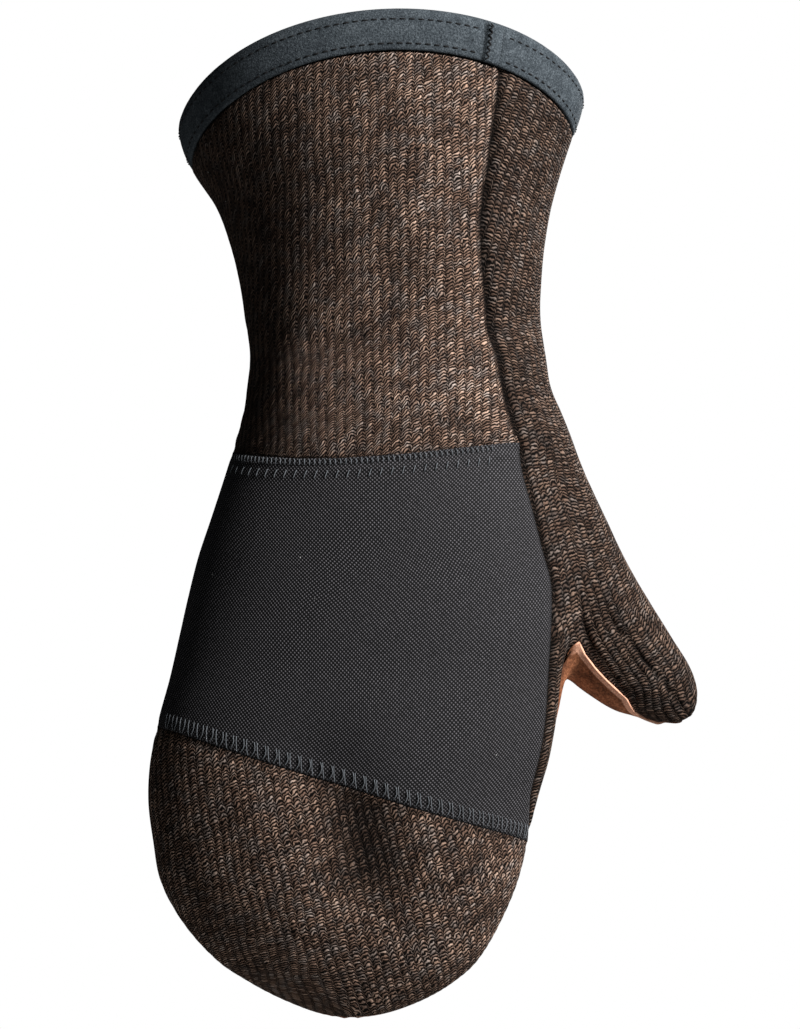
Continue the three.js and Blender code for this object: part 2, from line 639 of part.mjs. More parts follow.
// The leather: the palm, the palm side of the fingers, and the thumb's inner side
function leatherPalm() {
  const thumbColumns = cells(THUMB_WIDTH * THUMB_ROUND / 2);
  const dipColumns = cells(THUMB_WIDTH * THUMB_ROUND / 2);
  const palmColumns = cells(HAND_WIDTH * HAND_ROUND);
  const upperThumb = fan(palm, saddleAngle, THUMB_PALM_EDGE, SADDLE_BACK).lower;
  const turning = LOWER_ROWS / BRANCH_ROWS;
  const outerLevel = (v) => (v < turning
    ? mix(leatherTop(), SIDE_LEVEL, v / turning)
    : mix(SIDE_LEVEL, SADDLE_LEVEL, (v - turning) / (1 - turning)));
  const upperPalm = (u, v) => {
    const edge = onSurface(upperThumb(1, v));
    const z = mix(edge.z, outerLevel(v), u);
    return u === 0 ? edge : handPoint(mix(handTurn(edge), left(z) + FULL_TURN, u), z);
  };
  const palmAngle = (share, z) => mix(palm(z), left(z) + FULL_TURN, share);
  const tipLine = (share, v) => mix(tipPlace(1, v).z, tipPlace(0, v).z, share);
  const downTo = (start, share, v) => {
    const turn = (handTurn(start) + FULL_TURN) % FULL_TURN;
    const z = mix(start.z, tipLine(share, 0), v);
    return v === 0 ? start : handPoint(mix(turn, palmAngle(share, z), easedFrom(start.z, z)), z);
  };
  const tip = (from, to) => (u, v) => {
    const share = mix(from, to, u);
    const z = tipLine(share, v);
    return handPoint(palmAngle(share, z), z);
  };
  const dipAngle = (u) => mix(FULL_TURN + KNIT_EDGE, SADDLE_BACK, u);
  const lowDip = (u, v) => downTo(onSurface(crotchLine(dipAngle(u))), DIP_SHARE * u, v);
  const lowPalm = (u, v) => downTo(onSurface(upperPalm(u, 1)), mix(DIP_SHARE, 1, u), v);
  const thumbSide = (from, to) => (u, v) => {
    const start = CROTCH_ALONG + saddleDip(mix(from, to(CROTCH_ALONG), u));
    const edge = to(mix(CROTCH_ALONG, THUMB_LENGTH, tipShare(v)));
    return thumbPoint(mix(from, edge, u), mix(start, THUMB_LENGTH, tipShare(v)));
  };
  const toSaddle = () => SADDLE_BACK;
  const toKnit = (along) => FULL_TURN + knitEdge(along);
  return new Sheet()
    .add(stack(
      grid(thumbColumns, BRANCH_ROWS, upperThumb),
      grid(thumbColumns, THUMB_ROWS, thumbSide(THUMB_PALM_EDGE, toSaddle)),
    ))
    .add(stack(
      grid(palmColumns, BRANCH_ROWS, upperPalm),
      grid(palmColumns, STRIP_ROWS, lowPalm),
      grid(palmColumns, TIP_ROWS, tip(DIP_SHARE, 1)),
    ))
    .add(stack(grid(dipColumns, STRIP_ROWS, lowDip), grid(dipColumns, TIP_ROWS, tip(0, DIP_SHARE))))
    .add(grid(dipColumns, THUMB_ROWS, thumbSide(SADDLE_BACK, toKnit)));
}

// The binding: a tape folded over the rim, with its two layers outside and inside the panels. Its
// section is a U whose places are given as a distance below the rim and a depth under the outside.
function cuffBinding() {
  const fold = TAPE_TOTAL / 2;
  const hollow = fold - BINDING_THICKNESS;
  const arc = (radius, turns) => turns.map((turn) => [
    fold - radius * Math.sin(turn * Math.PI),
    fold - radius * Math.cos(turn * Math.PI),
  ]);
  const inside = TAPE_TOTAL - BINDING_THICKNESS;
  const middle = BINDING_WIDTH / 2;
  const section = [
    [BINDING_WIDTH, 0], [middle, 0], ...arc(fold, [0, 0.25, 0.5, 0.75, 1]),
    [middle, TAPE_TOTAL], [BINDING_WIDTH, TAPE_TOTAL],
    [BINDING_WIDTH, inside], [middle, inside], ...arc(hollow, [1, 0.5, 0]),
    [middle, BINDING_THICKNESS], [BINDING_WIDTH, BINDING_THICKNESS],
  ];
  const lapTurn = degrees(BINDING_LAP / CUFF.half);
  const lapEnd = LAP_START + lapTurn;
  const marks = [LAP_START, LAP_START + LAP_EDGE, lapEnd, lapEnd + LAP_EDGE];
  const steps = cells(Math.PI * (CUFF.half + CUFF_DEPTH / 2));
  const rest = FULL_TURN - lapTurn - LAP_EDGE;
  const after = Array.from({ length: steps - 1 }, (_, k) => marks[3] + (rest * (k + 1)) / steps);
  const angles = [...marks, ...after];
  const rings = angles.map((angle, station) => {
    const lift = station === 1 || station === 2 ? BINDING_LAP_LIFT : 0;
    const rim = onSurface(handPoint(angle, rimHeight(angle)));
    const below = onSurface(handPoint(angle, rimHeight(angle) - 1));
    const up = rim.clone().sub(below).normalize();
    return section.map(([down, deep]) => {
      const place = down > fold ? onSurface(handPoint(angle, rimHeight(angle) - down)) : rim.clone();
      const normal = slope(place).normalize();
      if (down <= fold) place.addScaledVector(up, -down);
      const raised = deep < BINDING_THICKNESS ? lift : 0;
      return place.addScaledVector(normal, raised - deep);
    });
  });
  const triangles = [];
  rings.forEach((ring, k) => {
    const next = rings[(k + 1) % rings.length];
    ring.forEach((p, i) => {
      const j = (i + 1) % ring.length;
      triangles.push([p, next[i], next[j]]);
      triangles.push([p, next[j], ring[j]]);
    });
  });
  return body(triangles);
}

const KNIT = new THREE.MeshStandardMaterial({ color: 0x61514a, roughness: 0.95, metalness: 0 });
const KNUCKLE = new THREE.MeshStandardMaterial({ color: 0x2c2b2d, roughness: 0.9, metalness: 0 });
const LEATHER = new THREE.MeshStandardMaterial({ color: 0x6e3a1f, roughness: 0.8, metalness: 0 });
const BINDING = new THREE.MeshStandardMaterial({ color: 0x464e53, roughness: 0.95, metalness: 0 });

const mitten = new THREE.Group();

function addPiece(name, geometry, material) {
  const mesh = new THREE.Mesh(geometry, material);
  mesh.name = name;
  mitten.add(mesh);
}

addPiece('cuff_binding', cuffBinding(), BINDING);
addPiece('cuff_panel', wall(cuffPanel(), KNIT_THICKNESS), KNIT);
addPiece('knuckle_panel', wall(knucklePanel(), CLOTH_THICKNESS), KNUCKLE);
addPiece('fingertip_panel', wall(fingertipPanel(), KNIT_THICKNESS), KNIT);
addPiece('side_gusset', wall(sideGusset(), KNIT_THICKNESS), KNIT);
addPiece('leather_palm', wall(leatherPalm(), LEATHER_THICKNESS), LEATHER);

export default mitten;
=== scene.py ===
import math

import bpy
import numpy as np
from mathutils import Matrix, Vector


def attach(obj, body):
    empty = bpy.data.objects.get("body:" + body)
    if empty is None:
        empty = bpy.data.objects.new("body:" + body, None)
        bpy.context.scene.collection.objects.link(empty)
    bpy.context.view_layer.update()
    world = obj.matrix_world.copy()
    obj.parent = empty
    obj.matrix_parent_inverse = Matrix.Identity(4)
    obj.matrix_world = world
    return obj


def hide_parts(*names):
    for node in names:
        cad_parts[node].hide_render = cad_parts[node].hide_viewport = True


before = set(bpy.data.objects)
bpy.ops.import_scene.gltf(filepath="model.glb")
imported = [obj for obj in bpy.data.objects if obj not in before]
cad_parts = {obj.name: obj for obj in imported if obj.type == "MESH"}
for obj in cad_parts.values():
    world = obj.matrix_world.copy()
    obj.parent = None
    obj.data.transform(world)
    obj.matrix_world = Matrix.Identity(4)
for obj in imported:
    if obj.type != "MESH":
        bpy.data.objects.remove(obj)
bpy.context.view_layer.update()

# The camera stands in front of the back of the hand, a little lower than its middle, and looks up at it.
# The photograph is 800 by 1029 pixels, and one of its pixels is this long at the mitten.
MM = 0.001
PHOTO_HEIGHT = 1029
PIXEL = 0.28 * MM
CAMERA_AWAY = 1150 * MM
CAMERA_LOOKS_UP = math.radians(8)
CAMERA_AIM = Vector((5.6, 0, -115.8)) * MM
SENSOR = 24

camera_data = bpy.data.cameras.new("camera")
camera_data.sensor_fit = "VERTICAL"
camera_data.sensor_height = SENSOR
camera_data.lens = SENSOR * CAMERA_AWAY / (PHOTO_HEIGHT * PIXEL)
camera = bpy.data.objects.new("camera", camera_data)
camera_line = Vector((0, math.cos(CAMERA_LOOKS_UP), math.sin(CAMERA_LOOKS_UP)))
camera.location = CAMERA_AIM - CAMERA_AWAY * camera_line
camera.rotation_euler = camera_line.to_track_quat("-Z", "Y").to_euler()
bpy.context.scene.collection.objects.link(camera)
bpy.context.scene.camera = camera

# The light is a soft box to the right of the camera and above it, which leaves the little-finger side
# dark. A second one stands behind and lights the palm side. The room is white where it is seen and dim
# where it lights.
ROOM_FILL, ROOM_TINT = 0.035, (0.9, 0.95, 1, 1)
LAMP_PLACE = Vector((0.90, -0.66, 0.60))
LAMP_SIDE = 0.45
LAMP_WATTS = 38
REAR_PLACE = Vector((0.35, 1.2, 0.45))
REAR_SIDE = 0.9
REAR_WATTS = 22


def soft_box(name, place, side, watts):
    """A square lamp at a place seen from the mitten, which it faces."""
    lamp = bpy.data.lights.new(name, "AREA")
    lamp.size = side
    lamp.energy = watts
    holder = bpy.data.objects.new(name, lamp)
    holder.location = CAMERA_AIM + place
    holder.rotation_euler = (-place).to_track_quat("-Z", "Y").to_euler()
    bpy.context.scene.collection.objects.link(holder)


soft_box("key_lamp", LAMP_PLACE, LAMP_SIDE, LAMP_WATTS)
soft_box("rear_lamp", REAR_PLACE, REAR_SIDE, REAR_WATTS)

room = bpy.data.worlds.new("white_room")
room.use_nodes = True
bpy.context.scene.world = room
bpy.context.scene.view_settings.view_transform = "Standard"
room_nodes = room.node_tree.nodes
room_nodes.clear()
seen = room_nodes.new("ShaderNodeBackground")
seen.inputs["Color"].default_value = (1, 1, 1, 1)
lighting = room_nodes.new("ShaderNodeBackground")
lighting.inputs["Color"].default_value = ROOM_TINT
lighting.inputs["Strength"].default_value = ROOM_FILL
rays = room_nodes.new("ShaderNodeLightPath")
choice = room_nodes.new("ShaderNodeMixShader")
room_out = room_nodes.new("ShaderNodeOutputWorld")
for number, end in enumerate((rays.outputs["Is Camera Ray"], lighting.outputs[0], seen.outputs[0])):
    room.node_tree.links.new(end, choice.inputs[number])
room.node_tree.links.new(choice.outputs[0], room_out.inputs["Surface"])

# The floor is plain and pale, well below the mitten, which is held up as on a hand.
FLOOR_SIDE, FLOOR_DROP = 6, 1.6
FLOOR_COLOUR, FLOOR_ROUGH = (0.85, 0.85, 0.84, 1), 0.9
floor_mesh = bpy.data.meshes.new("floor")
half = FLOOR_SIDE / 2
floor_corners = [(-half, -half), (half, -half), (half, half), (-half, half)]
floor_mesh.from_pydata([(x, y, -FLOOR_DROP) for x, y in floor_corners], [], [(0, 1, 2, 3)])
floor = bpy.data.objects.new("floor", floor_mesh)
bpy.context.scene.collection.objects.link(floor)
floor_paint = bpy.data.materials.new("pale_floor")
floor_paint.use_nodes = True
floor_shader = floor_paint.node_tree.nodes["Principled BSDF"]
floor_shader.inputs["Base Color"].default_value = FLOOR_COLOUR
floor_shader.inputs["Roughness"].default_value = FLOOR_ROUGH
floor_mesh.materials.append(floor_paint)

# Cuff panel
# The upper back of the mitten, from the binding to the knuckles, in brown heather knit. It wraps round
# the little-finger side and closes the cuff on the palm side. Its edges are rolled into the seams.

# Sizes of the mitten in millimetres. Angles go round the hand from the middle of the back to the thumb.
HAND_LENGTH = 256
CUFF_WIDTH, CUFF_DEPTH = 113, 80
WRIST_WIDTH, WRIST_DEPTH = 83, 57
HAND_WIDTH, HAND_DEPTH = 111, 54
HAND_LEAN = 11
HAND_BOW = 6
RIM_RISE, RIM_DROP, RIM_TILT, RIM_ROUND = 18.7, 3, 4.5, 1.65
THUMB_LENGTH, THUMB_WIDTH, THUMB_DEPTH = 92, 33.5, 30
THUMB_ANGLE = math.radians(33)
THUMB_SET_OUT, THUMB_SET_DOWN, THUMB_SET_BACK = 35.8, 96, 9
CROTCH_BLEND = 6
KNIT_THICKNESS = 2.5
FULL_TURN = 360

# The named sections: half the width, and depth over width
CUFF = (CUFF_WIDTH / 2, CUFF_DEPTH / CUFF_WIDTH)
WRIST = (WRIST_WIDTH / 2, WRIST_DEPTH / WRIST_WIDTH)
HAND = (HAND_WIDTH / 2, HAND_DEPTH / HAND_WIDTH)
THUMB = (THUMB_WIDTH / 2, THUMB_DEPTH / THUMB_WIDTH)

# Sections of the hand from the rim to the tip: share of the length, the named section, shares of its
# half width and of its flatness, and shares of the lean and of the bow
HAND_SECTIONS = [
    (0.0, CUFF, 1.03, 0.98, -0.1, 0.0),
    (0.065, CUFF, 0.93, 1.02, -0.09, 0.0),
    (0.108, CUFF, 0.841, 1.04, 0.09, 0.05),
    (0.152, WRIST, 1.07, 1.08, 0.19, 0.1),
    (0.196, WRIST, 1.024, 1.05, 0.27, 0.2),
    (0.24, WRIST, 1.003, 1.02, 0.35, 0.3),
    (0.283, WRIST, 1.006, 1.0, 0.47, 0.33),
    (0.327, HAND, 0.777, 1.34, 0.48, 0.25),
    (0.371, HAND, 0.82, 1.26, 0.46, 0.1),
    (0.415, HAND, 0.86, 1.2, 0.37, 0.0),
    (0.458, HAND, 0.901, 1.13, 0.27, -0.1),
    (0.502, HAND, 0.942, 1.07, 0.14, -0.15),
    (0.546, HAND, 0.971, 1.03, 0.03, -0.15),
    (0.589, HAND, 0.989, 1.0, -0.1, -0.1),
    (0.633, HAND, 0.991, 0.98, -0.32, 0.0),
    (0.677, HAND, 1.0, 0.965, -0.55, 0.12),
    (0.721, HAND, 0.998, 0.945, -0.76, 0.25),
    (0.764, HAND, 0.974, 0.935, -0.94, 0.4),
    (0.808, HAND, 0.939, 0.925, -0.99, 0.55),
    (0.852, HAND, 0.894, 0.905, -1.02, 0.7),
    (0.896, HAND, 0.797, 0.88, -0.96, 0.82),
    (0.939, HAND, 0.648, 0.84, -0.81, 0.92),
    (0.961, HAND, 0.515, 0.81, -0.71, 0.96),
    (0.983, HAND, 0.33, 0.79, -0.66, 0.99),
    (1.0, HAND, 0.0, 0.78, -0.7, 1.0),
]

# Sections of the thumb from its root to its tip, in the same columns
THUMB_SECTIONS = [
    (-0.26, THUMB, 0.0, 1.1, 0.0, 0.2),
    (-0.1, THUMB, 0.8, 1.1, 0.0, 0.25),
    (0.0, THUMB, 0.96, 1.12, 0.01, 0.35),
    (0.235, THUMB, 0.985, 1.1, -0.085, 0.6),
    (0.363, THUMB, 0.99, 1.06, -0.135, 0.75),
    (0.495, THUMB, 0.97, 1.02, -0.172, 0.9),
    (0.636, THUMB, 0.943, 0.97, -0.179, 1.0),
    (0.712, THUMB, 0.901, 0.95, -0.161, 1.08),
    (0.779, THUMB, 0.83, 0.93, -0.128, 1.15),
    (0.852, THUMB, 0.725, 0.91, -0.079, 1.22),
    (0.916, THUMB, 0.531, 0.9, -0.015, 1.28),
    (0.967, THUMB, 0.325, 0.9, 0.004, 1.32),
    (1.0, THUMB, 0.0, 0.9, -0.009, 1.33),
]

# Seams down the hand: share of the length, and the angles of the back panels' edge at the thumb side, of
# their edge at the little finger, and of the palm's edge
SEAMS = [
    (-0.07, 35.5, -95, 118),
    (0.0, 36.5, -95, 118),
    (0.073, 38, -95, 117),
    (0.14, 36.5, -95, 115),
    (0.201, 38, -95, 112),
    (0.272, 41.5, -86, 110),
    (0.305, 42.5, -92, 110),
    (0.348, 44.5, -84, 110),
    (0.379, 46.5, -94, 110),
    (0.458, 52.5, -95, 110),
    (0.5, 57, -95, 108),
    (0.535, 62, -95, 104),
    (0.592, 63.5, -95, 92),
    (0.642, 68.5, -95, 96),
    (0.692, 73, -95, 97),
    (0.76, 77, -95, 97),
    (0.82, 91.5, -95, 94),
    (1.0, 93, -93, 93),
]

# Folds: a valley from one place to another, as shares of the width across and of the length down, how
# wide it is as a share of the width, and how deep as a share of the depth. Below zero it is a swelling.
HAND_FOLDS = [
    (-0.13, 0.285, 0.05, 0.215, 0.075, 0.035),
    (-0.22, 0.26, -0.22, 0.3, 0.16, -0.035),
    (0.41, 0.225, 0.3, 0.26, 0.045, 0.03),
    (-0.14, 0.745, -0.01, 0.87, 0.12, 0.05),
    (-0.3, 0.47, 0.25, 0.46, 0.16, -0.02),
]
THUMB_FOLDS = [
    (0.33, 0.64, 0.22, 0.96, 0.09, 0.045),
    (-0.1, 0.6, -0.2, 0.86, 0.09, 0.04),
    (0.02, 0.14, 0.25, 0.5, 0.2, 0.03),
]


def mix(start, end, share):
    """Straight line between two values."""
    return start + (end - start) * share


def ease(value, start, end):
    """Soft step: 0 at start, 1 at end, and t squared times (3 less 2t) between them."""
    t = np.clip((value - start) / (end - start), 0, 1)
    return t * t * (3 - 2 * t)


def bell(away, width):
    """A bell of a distance: e to the power of minus the square of its share of the width."""
    return np.exp(-((away / width) ** 2))


def smooth_curve(places, values):
    """A column of a table as a smooth curve: between two rows a cubic, whose slope at a row is that of
    the line between the row's two neighbours, and a straight line past the ends. It is worked out
    once at close places, and read between them."""
    places = np.array(places, float)
    values = np.array(values, float)
    last = len(places) - 1
    before = np.maximum(np.arange(last + 1) - 1, 0)
    after = np.minimum(np.arange(last + 1) + 1, last)
    slopes = (values[after] - values[before]) / (places[after] - places[before])
    close = np.linspace(-2, 3, 20001)
    row = np.clip(np.searchsorted(places, close) - 1, 0, last - 1)
    span = places[row + 1] - places[row]
    t = (np.clip(close, places[0], places[-1]) - places[row]) / span
    start = values[row] * (1 + 2 * t) + slopes[row] * span * t
    end = values[row + 1] * (3 - 2 * t) - slopes[row + 1] * span * (1 - t)
    line = start * (1 - t) ** 2 + end * t**2
    line += slopes[0] * np.minimum(close - places[0], 0) + slopes[-1] * np.maximum(close - places[-1], 0)
    return lambda place: np.interp(place, close, line)


class Tube:
    """An oval tube. At a share of its length its section is an ellipse, whose half width squared,
    flatness, shift across and bow in depth are smooth curves through the rows of its table."""

    def __init__(self, rows, length, shift_size, bow_size):
        places = [row[0] for row in rows]
        self.length = length
        self.square = smooth_curve(places, [(row[2] * row[1][0]) ** 2 for row in rows])
        self.flat = smooth_curve(places, [row[3] * row[1][1] for row in rows])
        self.shift = smooth_curve(places, [row[4] * shift_size for row in rows])
        self.bow = smooth_curve(places, [row[5] * bow_size for row in rows])

    def outwards(self, across, deep, down):
        """About the distance outside the tube: x squared plus y squared less the half width squared,
        with y stretched to make the ellipse a circle, over the length of that sum's slope."""
        share = down / self.length
        step = 0.5 / self.length
        square = self.square(share)
        taper = self.square(share + step) - self.square(share - step)
        stretch = 1 / self.flat(share)
        x = across - self.shift(share)
        y = (deep - self.bow(share)) * stretch
        steep = 4 * x * x + 4 * y * y * stretch * stretch + taper * taper + np.maximum(square, 0)
        return (x * x + y * y - square) / np.sqrt(steep)

    def place(self, angle, down):
        """The ellipse's point at an angle: the shift plus half the width times the sine, and the bow
        less half the depth times the cosine."""
        share = down / self.length
        half_width = np.sqrt(np.maximum(self.square(share), 0))
        turn = np.radians(angle)
        deep = self.bow(share) - half_width * self.flat(share) * np.cos(turn)
        return self.shift(share) + half_width * np.sin(turn), deep

    def angle(self, across, deep, down):
        """The angle of a point round the tube."""
        share = down / self.length
        y = (deep - self.bow(share)) / self.flat(share)
        return np.degrees(np.arctan2(across - self.shift(share), -y))


hand = Tube(HAND_SECTIONS, HAND_LENGTH, HAND_LEAN, HAND_BOW)
thumb = Tube(THUMB_SECTIONS, THUMB_LENGTH, THUMB_WIDTH, THUMB_SET_BACK)
THUMB_SIN, THUMB_COS = math.sin(THUMB_ANGLE), math.cos(THUMB_ANGLE)


def hand_place(angle, z):
    """Points of the hand's tube at angles and heights."""
    across, deep = hand.place(angle, -z)
    return np.stack(np.broadcast_arrays(across, deep, z), axis=-1)


def thumb_place(angle, along):
    """Points of the thumb's tube, turned to the thumb's own line and set on the hand."""
    across, deep = thumb.place(angle, along)
    x = THUMB_SET_OUT + THUMB_SIN * along + THUMB_COS * across
    z = -THUMB_SET_DOWN - THUMB_COS * along + THUMB_SIN * across
    return np.stack(np.broadcast_arrays(x, deep, z), axis=-1)


def thumb_spot(points):
    """Places across the thumb's line and along it."""
    dx = points[..., 0] - THUMB_SET_OUT
    dz = points[..., 2] + THUMB_SET_DOWN
    return THUMB_COS * dx + THUMB_SIN * dz, THUMB_SIN * dx - THUMB_COS * dz


def fold_depth(folds, across, down, width, length, depth):
    """Sum over the folds of the depth times a bell of the distance from the fold's line."""
    total = 0
    for from_across, from_down, to_across, to_down, wide, deep in folds:
        run_across = (to_across - from_across) * width
        run_down = (to_down - from_down) * length
        away_across = across - from_across * width
        away_down = down - from_down * length
        run = run_across**2 + run_down**2
        t = np.clip((away_across * run_across + away_down * run_down) / run, 0, 1)
        away = (away_across - t * run_across) ** 2 + (away_down - t * run_down) ** 2
        total = total + deep * depth * np.exp(-away / (wide * width) ** 2)
    return total


def outside(points):
    """About the distance outside the mitten: the smaller of the hand's and the thumb's, softened where
    they are alike, plus the folds, which are on the back only."""
    x, y, z = points[..., 0], points[..., 1], points[..., 2]
    across, along = thumb_spot(points)
    to_hand = hand.outwards(x, y, -z)
    to_thumb = thumb.outwards(across, y, along)
    alike = np.maximum(CROTCH_BLEND - np.abs(to_hand - to_thumb), 0) / CROTCH_BLEND
    joined = np.minimum(to_hand, to_thumb) - alike * alike * CROTCH_BLEND / 4
    back = ease(-y, -0.1 * HAND_DEPTH, 0.25 * HAND_DEPTH)
    on_hand = fold_depth(HAND_FOLDS, x, -z, HAND_WIDTH, HAND_LENGTH, HAND_DEPTH)
    on_thumb = fold_depth(THUMB_FOLDS, across, along, THUMB_WIDTH, THUMB_LENGTH, THUMB_DEPTH)
    return joined + back * (on_hand + on_thumb)


def steepness(points):
    """Slope of that distance, from the difference over a small step each way."""
    small = 0.05
    steps = small * np.eye(3)
    return np.stack([outside(points + step) - outside(points - step) for step in steps], -1) / (2 * small)


def outward(points):
    """The direction straight out of the cloth."""
    slope = steepness(points)
    return slope / np.linalg.norm(slope, axis=-1, keepdims=True)


def settle(points, turns=8):
    """Moves points to the outside of the mitten: each turn goes along the slope by the distance over the
    slope's length, and by a few millimetres at most."""
    small, reach = 0.05, 4
    points = points.copy()
    for _ in range(turns):
        here = outside(points)
        slope = np.stack([outside(points + step) - here for step in small * np.eye(3)], -1) / small
        steep = np.sqrt((slope**2).sum(-1))
        move = np.clip(here / np.maximum(steep, 0.2), -reach, reach)
        points -= slope * (move / np.maximum(steep, 0.2))[..., None]
    return points


def rim_height(angle):
    """Height of the rim: the cosine, rounded by a power, times the rise in front or the drop behind,
    plus the sine times the tilt."""
    facing = np.cos(np.radians(angle))
    rise = np.where(facing > 0, RIM_RISE, -RIM_DROP)
    return rise * np.abs(facing) ** RIM_ROUND + RIM_TILT * np.sin(np.radians(angle))


def seam(column):
    """A seam's angle as a function of height."""
    angle = smooth_curve([row[0] for row in SEAMS], [row[column] for row in SEAMS])
    return lambda z: angle(-z / HAND_LENGTH)


front, left, palm = seam(1), seam(2), seam(3)

# The tape over the rim, and the knit between its two layers
BINDING_THICKNESS = 1.2
BINDING_WIDTH = 11.8
TAPE_GAP = 0.45
TAPE_TOTAL = 2 * BINDING_THICKNESS + 2 * TAPE_GAP + KNIT_THICKNESS
TAPE_PRESS = BINDING_THICKNESS + TAPE_GAP
PRESS_REACH = BINDING_WIDTH + 2 * TAPE_GAP

# Heights of the seams across the hand
LEATHER_LEVEL = -0.25 * HAND_LENGTH
KNUCKLE_TOP_LOWEST, KNUCKLE_TOP_REACH, KNUCKLE_TOP_TURN = 0.406, 0.026, -20
KNUCKLE_END_MIDDLE, KNUCKLE_END_SLOPE, KNUCKLE_END_ROUND = 0.757, 0.062, 0.0095


def panel_top(angle):
    """The knit's upper edge, hidden in the fold of the tape."""
    return rim_height(angle) - TAPE_TOTAL / 2


def leather_top(angle):
    """The seam where the leather starts, level all round."""
    return LEATHER_LEVEL + 0 * angle


def knuckle_top(angle):
    """The knuckle panel's upper seam, lowest left of the middle, and higher from there with the sine
    squared."""
    side = np.sin(np.radians(angle - KNUCKLE_TOP_TURN)) ** 2
    return (KNUCKLE_TOP_REACH * side - KNUCKLE_TOP_LOWEST) * HAND_LENGTH


def knuckle_end(angle):
    """The knuckle panel's lower seam, which drops towards the thumb side with the sine, and bends up at
    both sides with its square."""
    side = np.sin(np.radians(angle))
    return -(KNUCKLE_END_MIDDLE + KNUCKLE_END_SLOPE * side - KNUCKLE_END_ROUND * side * side) * HAND_LENGTH


def shares(columns, rows):
    """The two parameters of a grid, from 0 to 1 across and down."""
    return np.meshgrid(np.linspace(0, 1, columns + 1), np.linspace(0, 1, rows + 1))


def between(from_angle, to_angle, from_level, to_level, u, v):
    """Points of the hand between two seams down it and two heights, which depend on each other, so
    that they are worked out in a few turns."""
    z = mix(from_level(0), to_level(0), v)
    for _ in range(4):
        angle = mix(from_angle(z), to_angle(z), u)
        z = mix(from_level(angle), to_level(angle), v)
    return hand_place(angle, z)


def band(from_angle, to_angle, from_level, to_level, columns, rows):
    """The same as an even grid."""
    return between(from_angle, to_angle, from_level, to_level, *shares(columns, rows))


def stack(*grids):
    """Grids one under the other: the last row of each is the first row of the next."""
    return np.concatenate([grids[0]] + [grid[1:] for grid in grids[1:]])


# How far from the flat seams the cloth hardly rolls in, and how much less it rolls and is darkened by
# painted shade there
FLAT_REACH, FLAT_ROLL, FLAT_SHADE = 2.2, 0.85, 0.6

# The knit: width of one leg of a stitch, height of a course, height of a rib and how far up its middle
# lies, and sizes and amounts of the drift across and down
LEG, COURSE = 1.29, 0.95
WALE_RIDGE, RIB_MIDDLE = 0.2, 0.75
DRIFT_ACROSS, DRIFT_DOWN = (23, 0.3), (17, 0.25)

# How much coarser a wall's inner side is, how near two points have to be to become one, and how much
# thinner a wall is at its seams
STRIDE, MEETING, SEAM_THINNER = 6, 0.02, 0.4


def lengths(grid):
    """Distances in millimetres across each row from its first point, and down each column."""
    across = np.linalg.norm(np.diff(grid, axis=1), axis=-1).cumsum(axis=1)
    down = np.linalg.norm(np.diff(grid, axis=0), axis=-1).cumsum(axis=0)
    across = np.pad(across, ((0, 0), (1, 0)))
    return across, np.pad(down, ((1, 0), (0, 0)))


def from_upright(across, grid, x):
    """Distances across each row, counted from where the row passes an upright line at x."""
    starts = [np.interp(x, row, reach) for row, reach in zip(grid[..., 0], across)]
    return across - np.array(starts)[:, None]


def wander(across, down, size, amount):
    """A slow drift, as the sum of four sine waves of about one size in different directions."""
    waves = [(1.0, 0.3, 0.5), (-0.6, 0.9, 2.1), (0.45, -1.15, 4.0), (1.25, 0.75, 5.3)]
    turns = [np.sin((across * a + down * b) * 2 * math.pi / size + start) for a, b, start in waves]
    return amount * sum(turns) / 2


def slope(degrees):
    """The slope of a line at an angle."""
    return math.tan(math.radians(degrees))


def stitch_map(across, down, lean, tilt):
    """Place of each point in the knit, counted in legs of stitches across and in courses down. The lean
    is the slope of the wales, and the tilt that of the courses, which rise to the right. Each is one
    number, or one for each row."""
    lean, tilt = (np.broadcast_to(each, len(down)) for each in (lean, tilt))
    drift = np.r_[0, np.cumsum(0.5 * (lean[1:] + lean[:-1]) * np.diff(down.mean(axis=1)))]
    legs = (across - drift[:, None] + wander(across, down, *DRIFT_ACROSS)) / LEG
    courses = (down + tilt[:, None] * across + wander(down, across, *DRIFT_DOWN)) / COURSE
    return np.stack([legs, courses], axis=-1)


def knit_relief(stitches, ribbing):
    """Height of the knit's ribs: one on each pair of legs, the root of a half wave."""
    return ribbing * (np.sqrt(np.abs(np.sin(math.pi * stitches[..., 0] / 2))) - RIB_MIDDLE)


def hand_turn(points):
    """Angle of points round the hand."""
    return hand.angle(points[..., 0], points[..., 1], -points[..., 2])


def flat_seam(points, rolled, at_seam):
    """At the knuckle panel's two seams the pieces butt together, hardly roll in and get less painted seam
    shade. How near they are is a bell of the height above or below them."""
    turn = hand_turn(points)
    over = np.minimum(np.abs(points[:, 2] - knuckle_top(turn)), np.abs(points[:, 2] - knuckle_end(turn)))
    near = bell(over, FLAT_REACH)
    return rolled * (1 - FLAT_ROLL * near), {"seam": at_seam * (1 - FLAT_SHADE * near)}


def pressed_in(points):
    """How far the knit is pressed in under the tape, and not below it."""
    below = rim_height(hand_turn(points)) - points[..., 2]
    return TAPE_PRESS * (1 - ease(below, BINDING_WIDTH - 0.2, BINDING_WIDTH + 1.0))


def quads(numbers):
    """The four corners of each cell of a grid of point numbers."""
    n = numbers
    return np.stack([n[:-1, :-1], n[1:, :-1], n[1:, 1:], n[:-1, 1:]], -1).reshape(-1, 4)


def pinched(corners, same):
    """Faces with four corners, and as triangles those of which two corners are the same point."""
    met = same[corners] == same[np.roll(corners, -1, axis=1)]
    once = met.sum(axis=1) == 1
    triangles = [np.roll(corners, -k - 1, axis=1)[met[:, k] & once, :3] for k in range(4)]
    return [corners[~met.any(axis=1)], np.concatenate(triangles)]


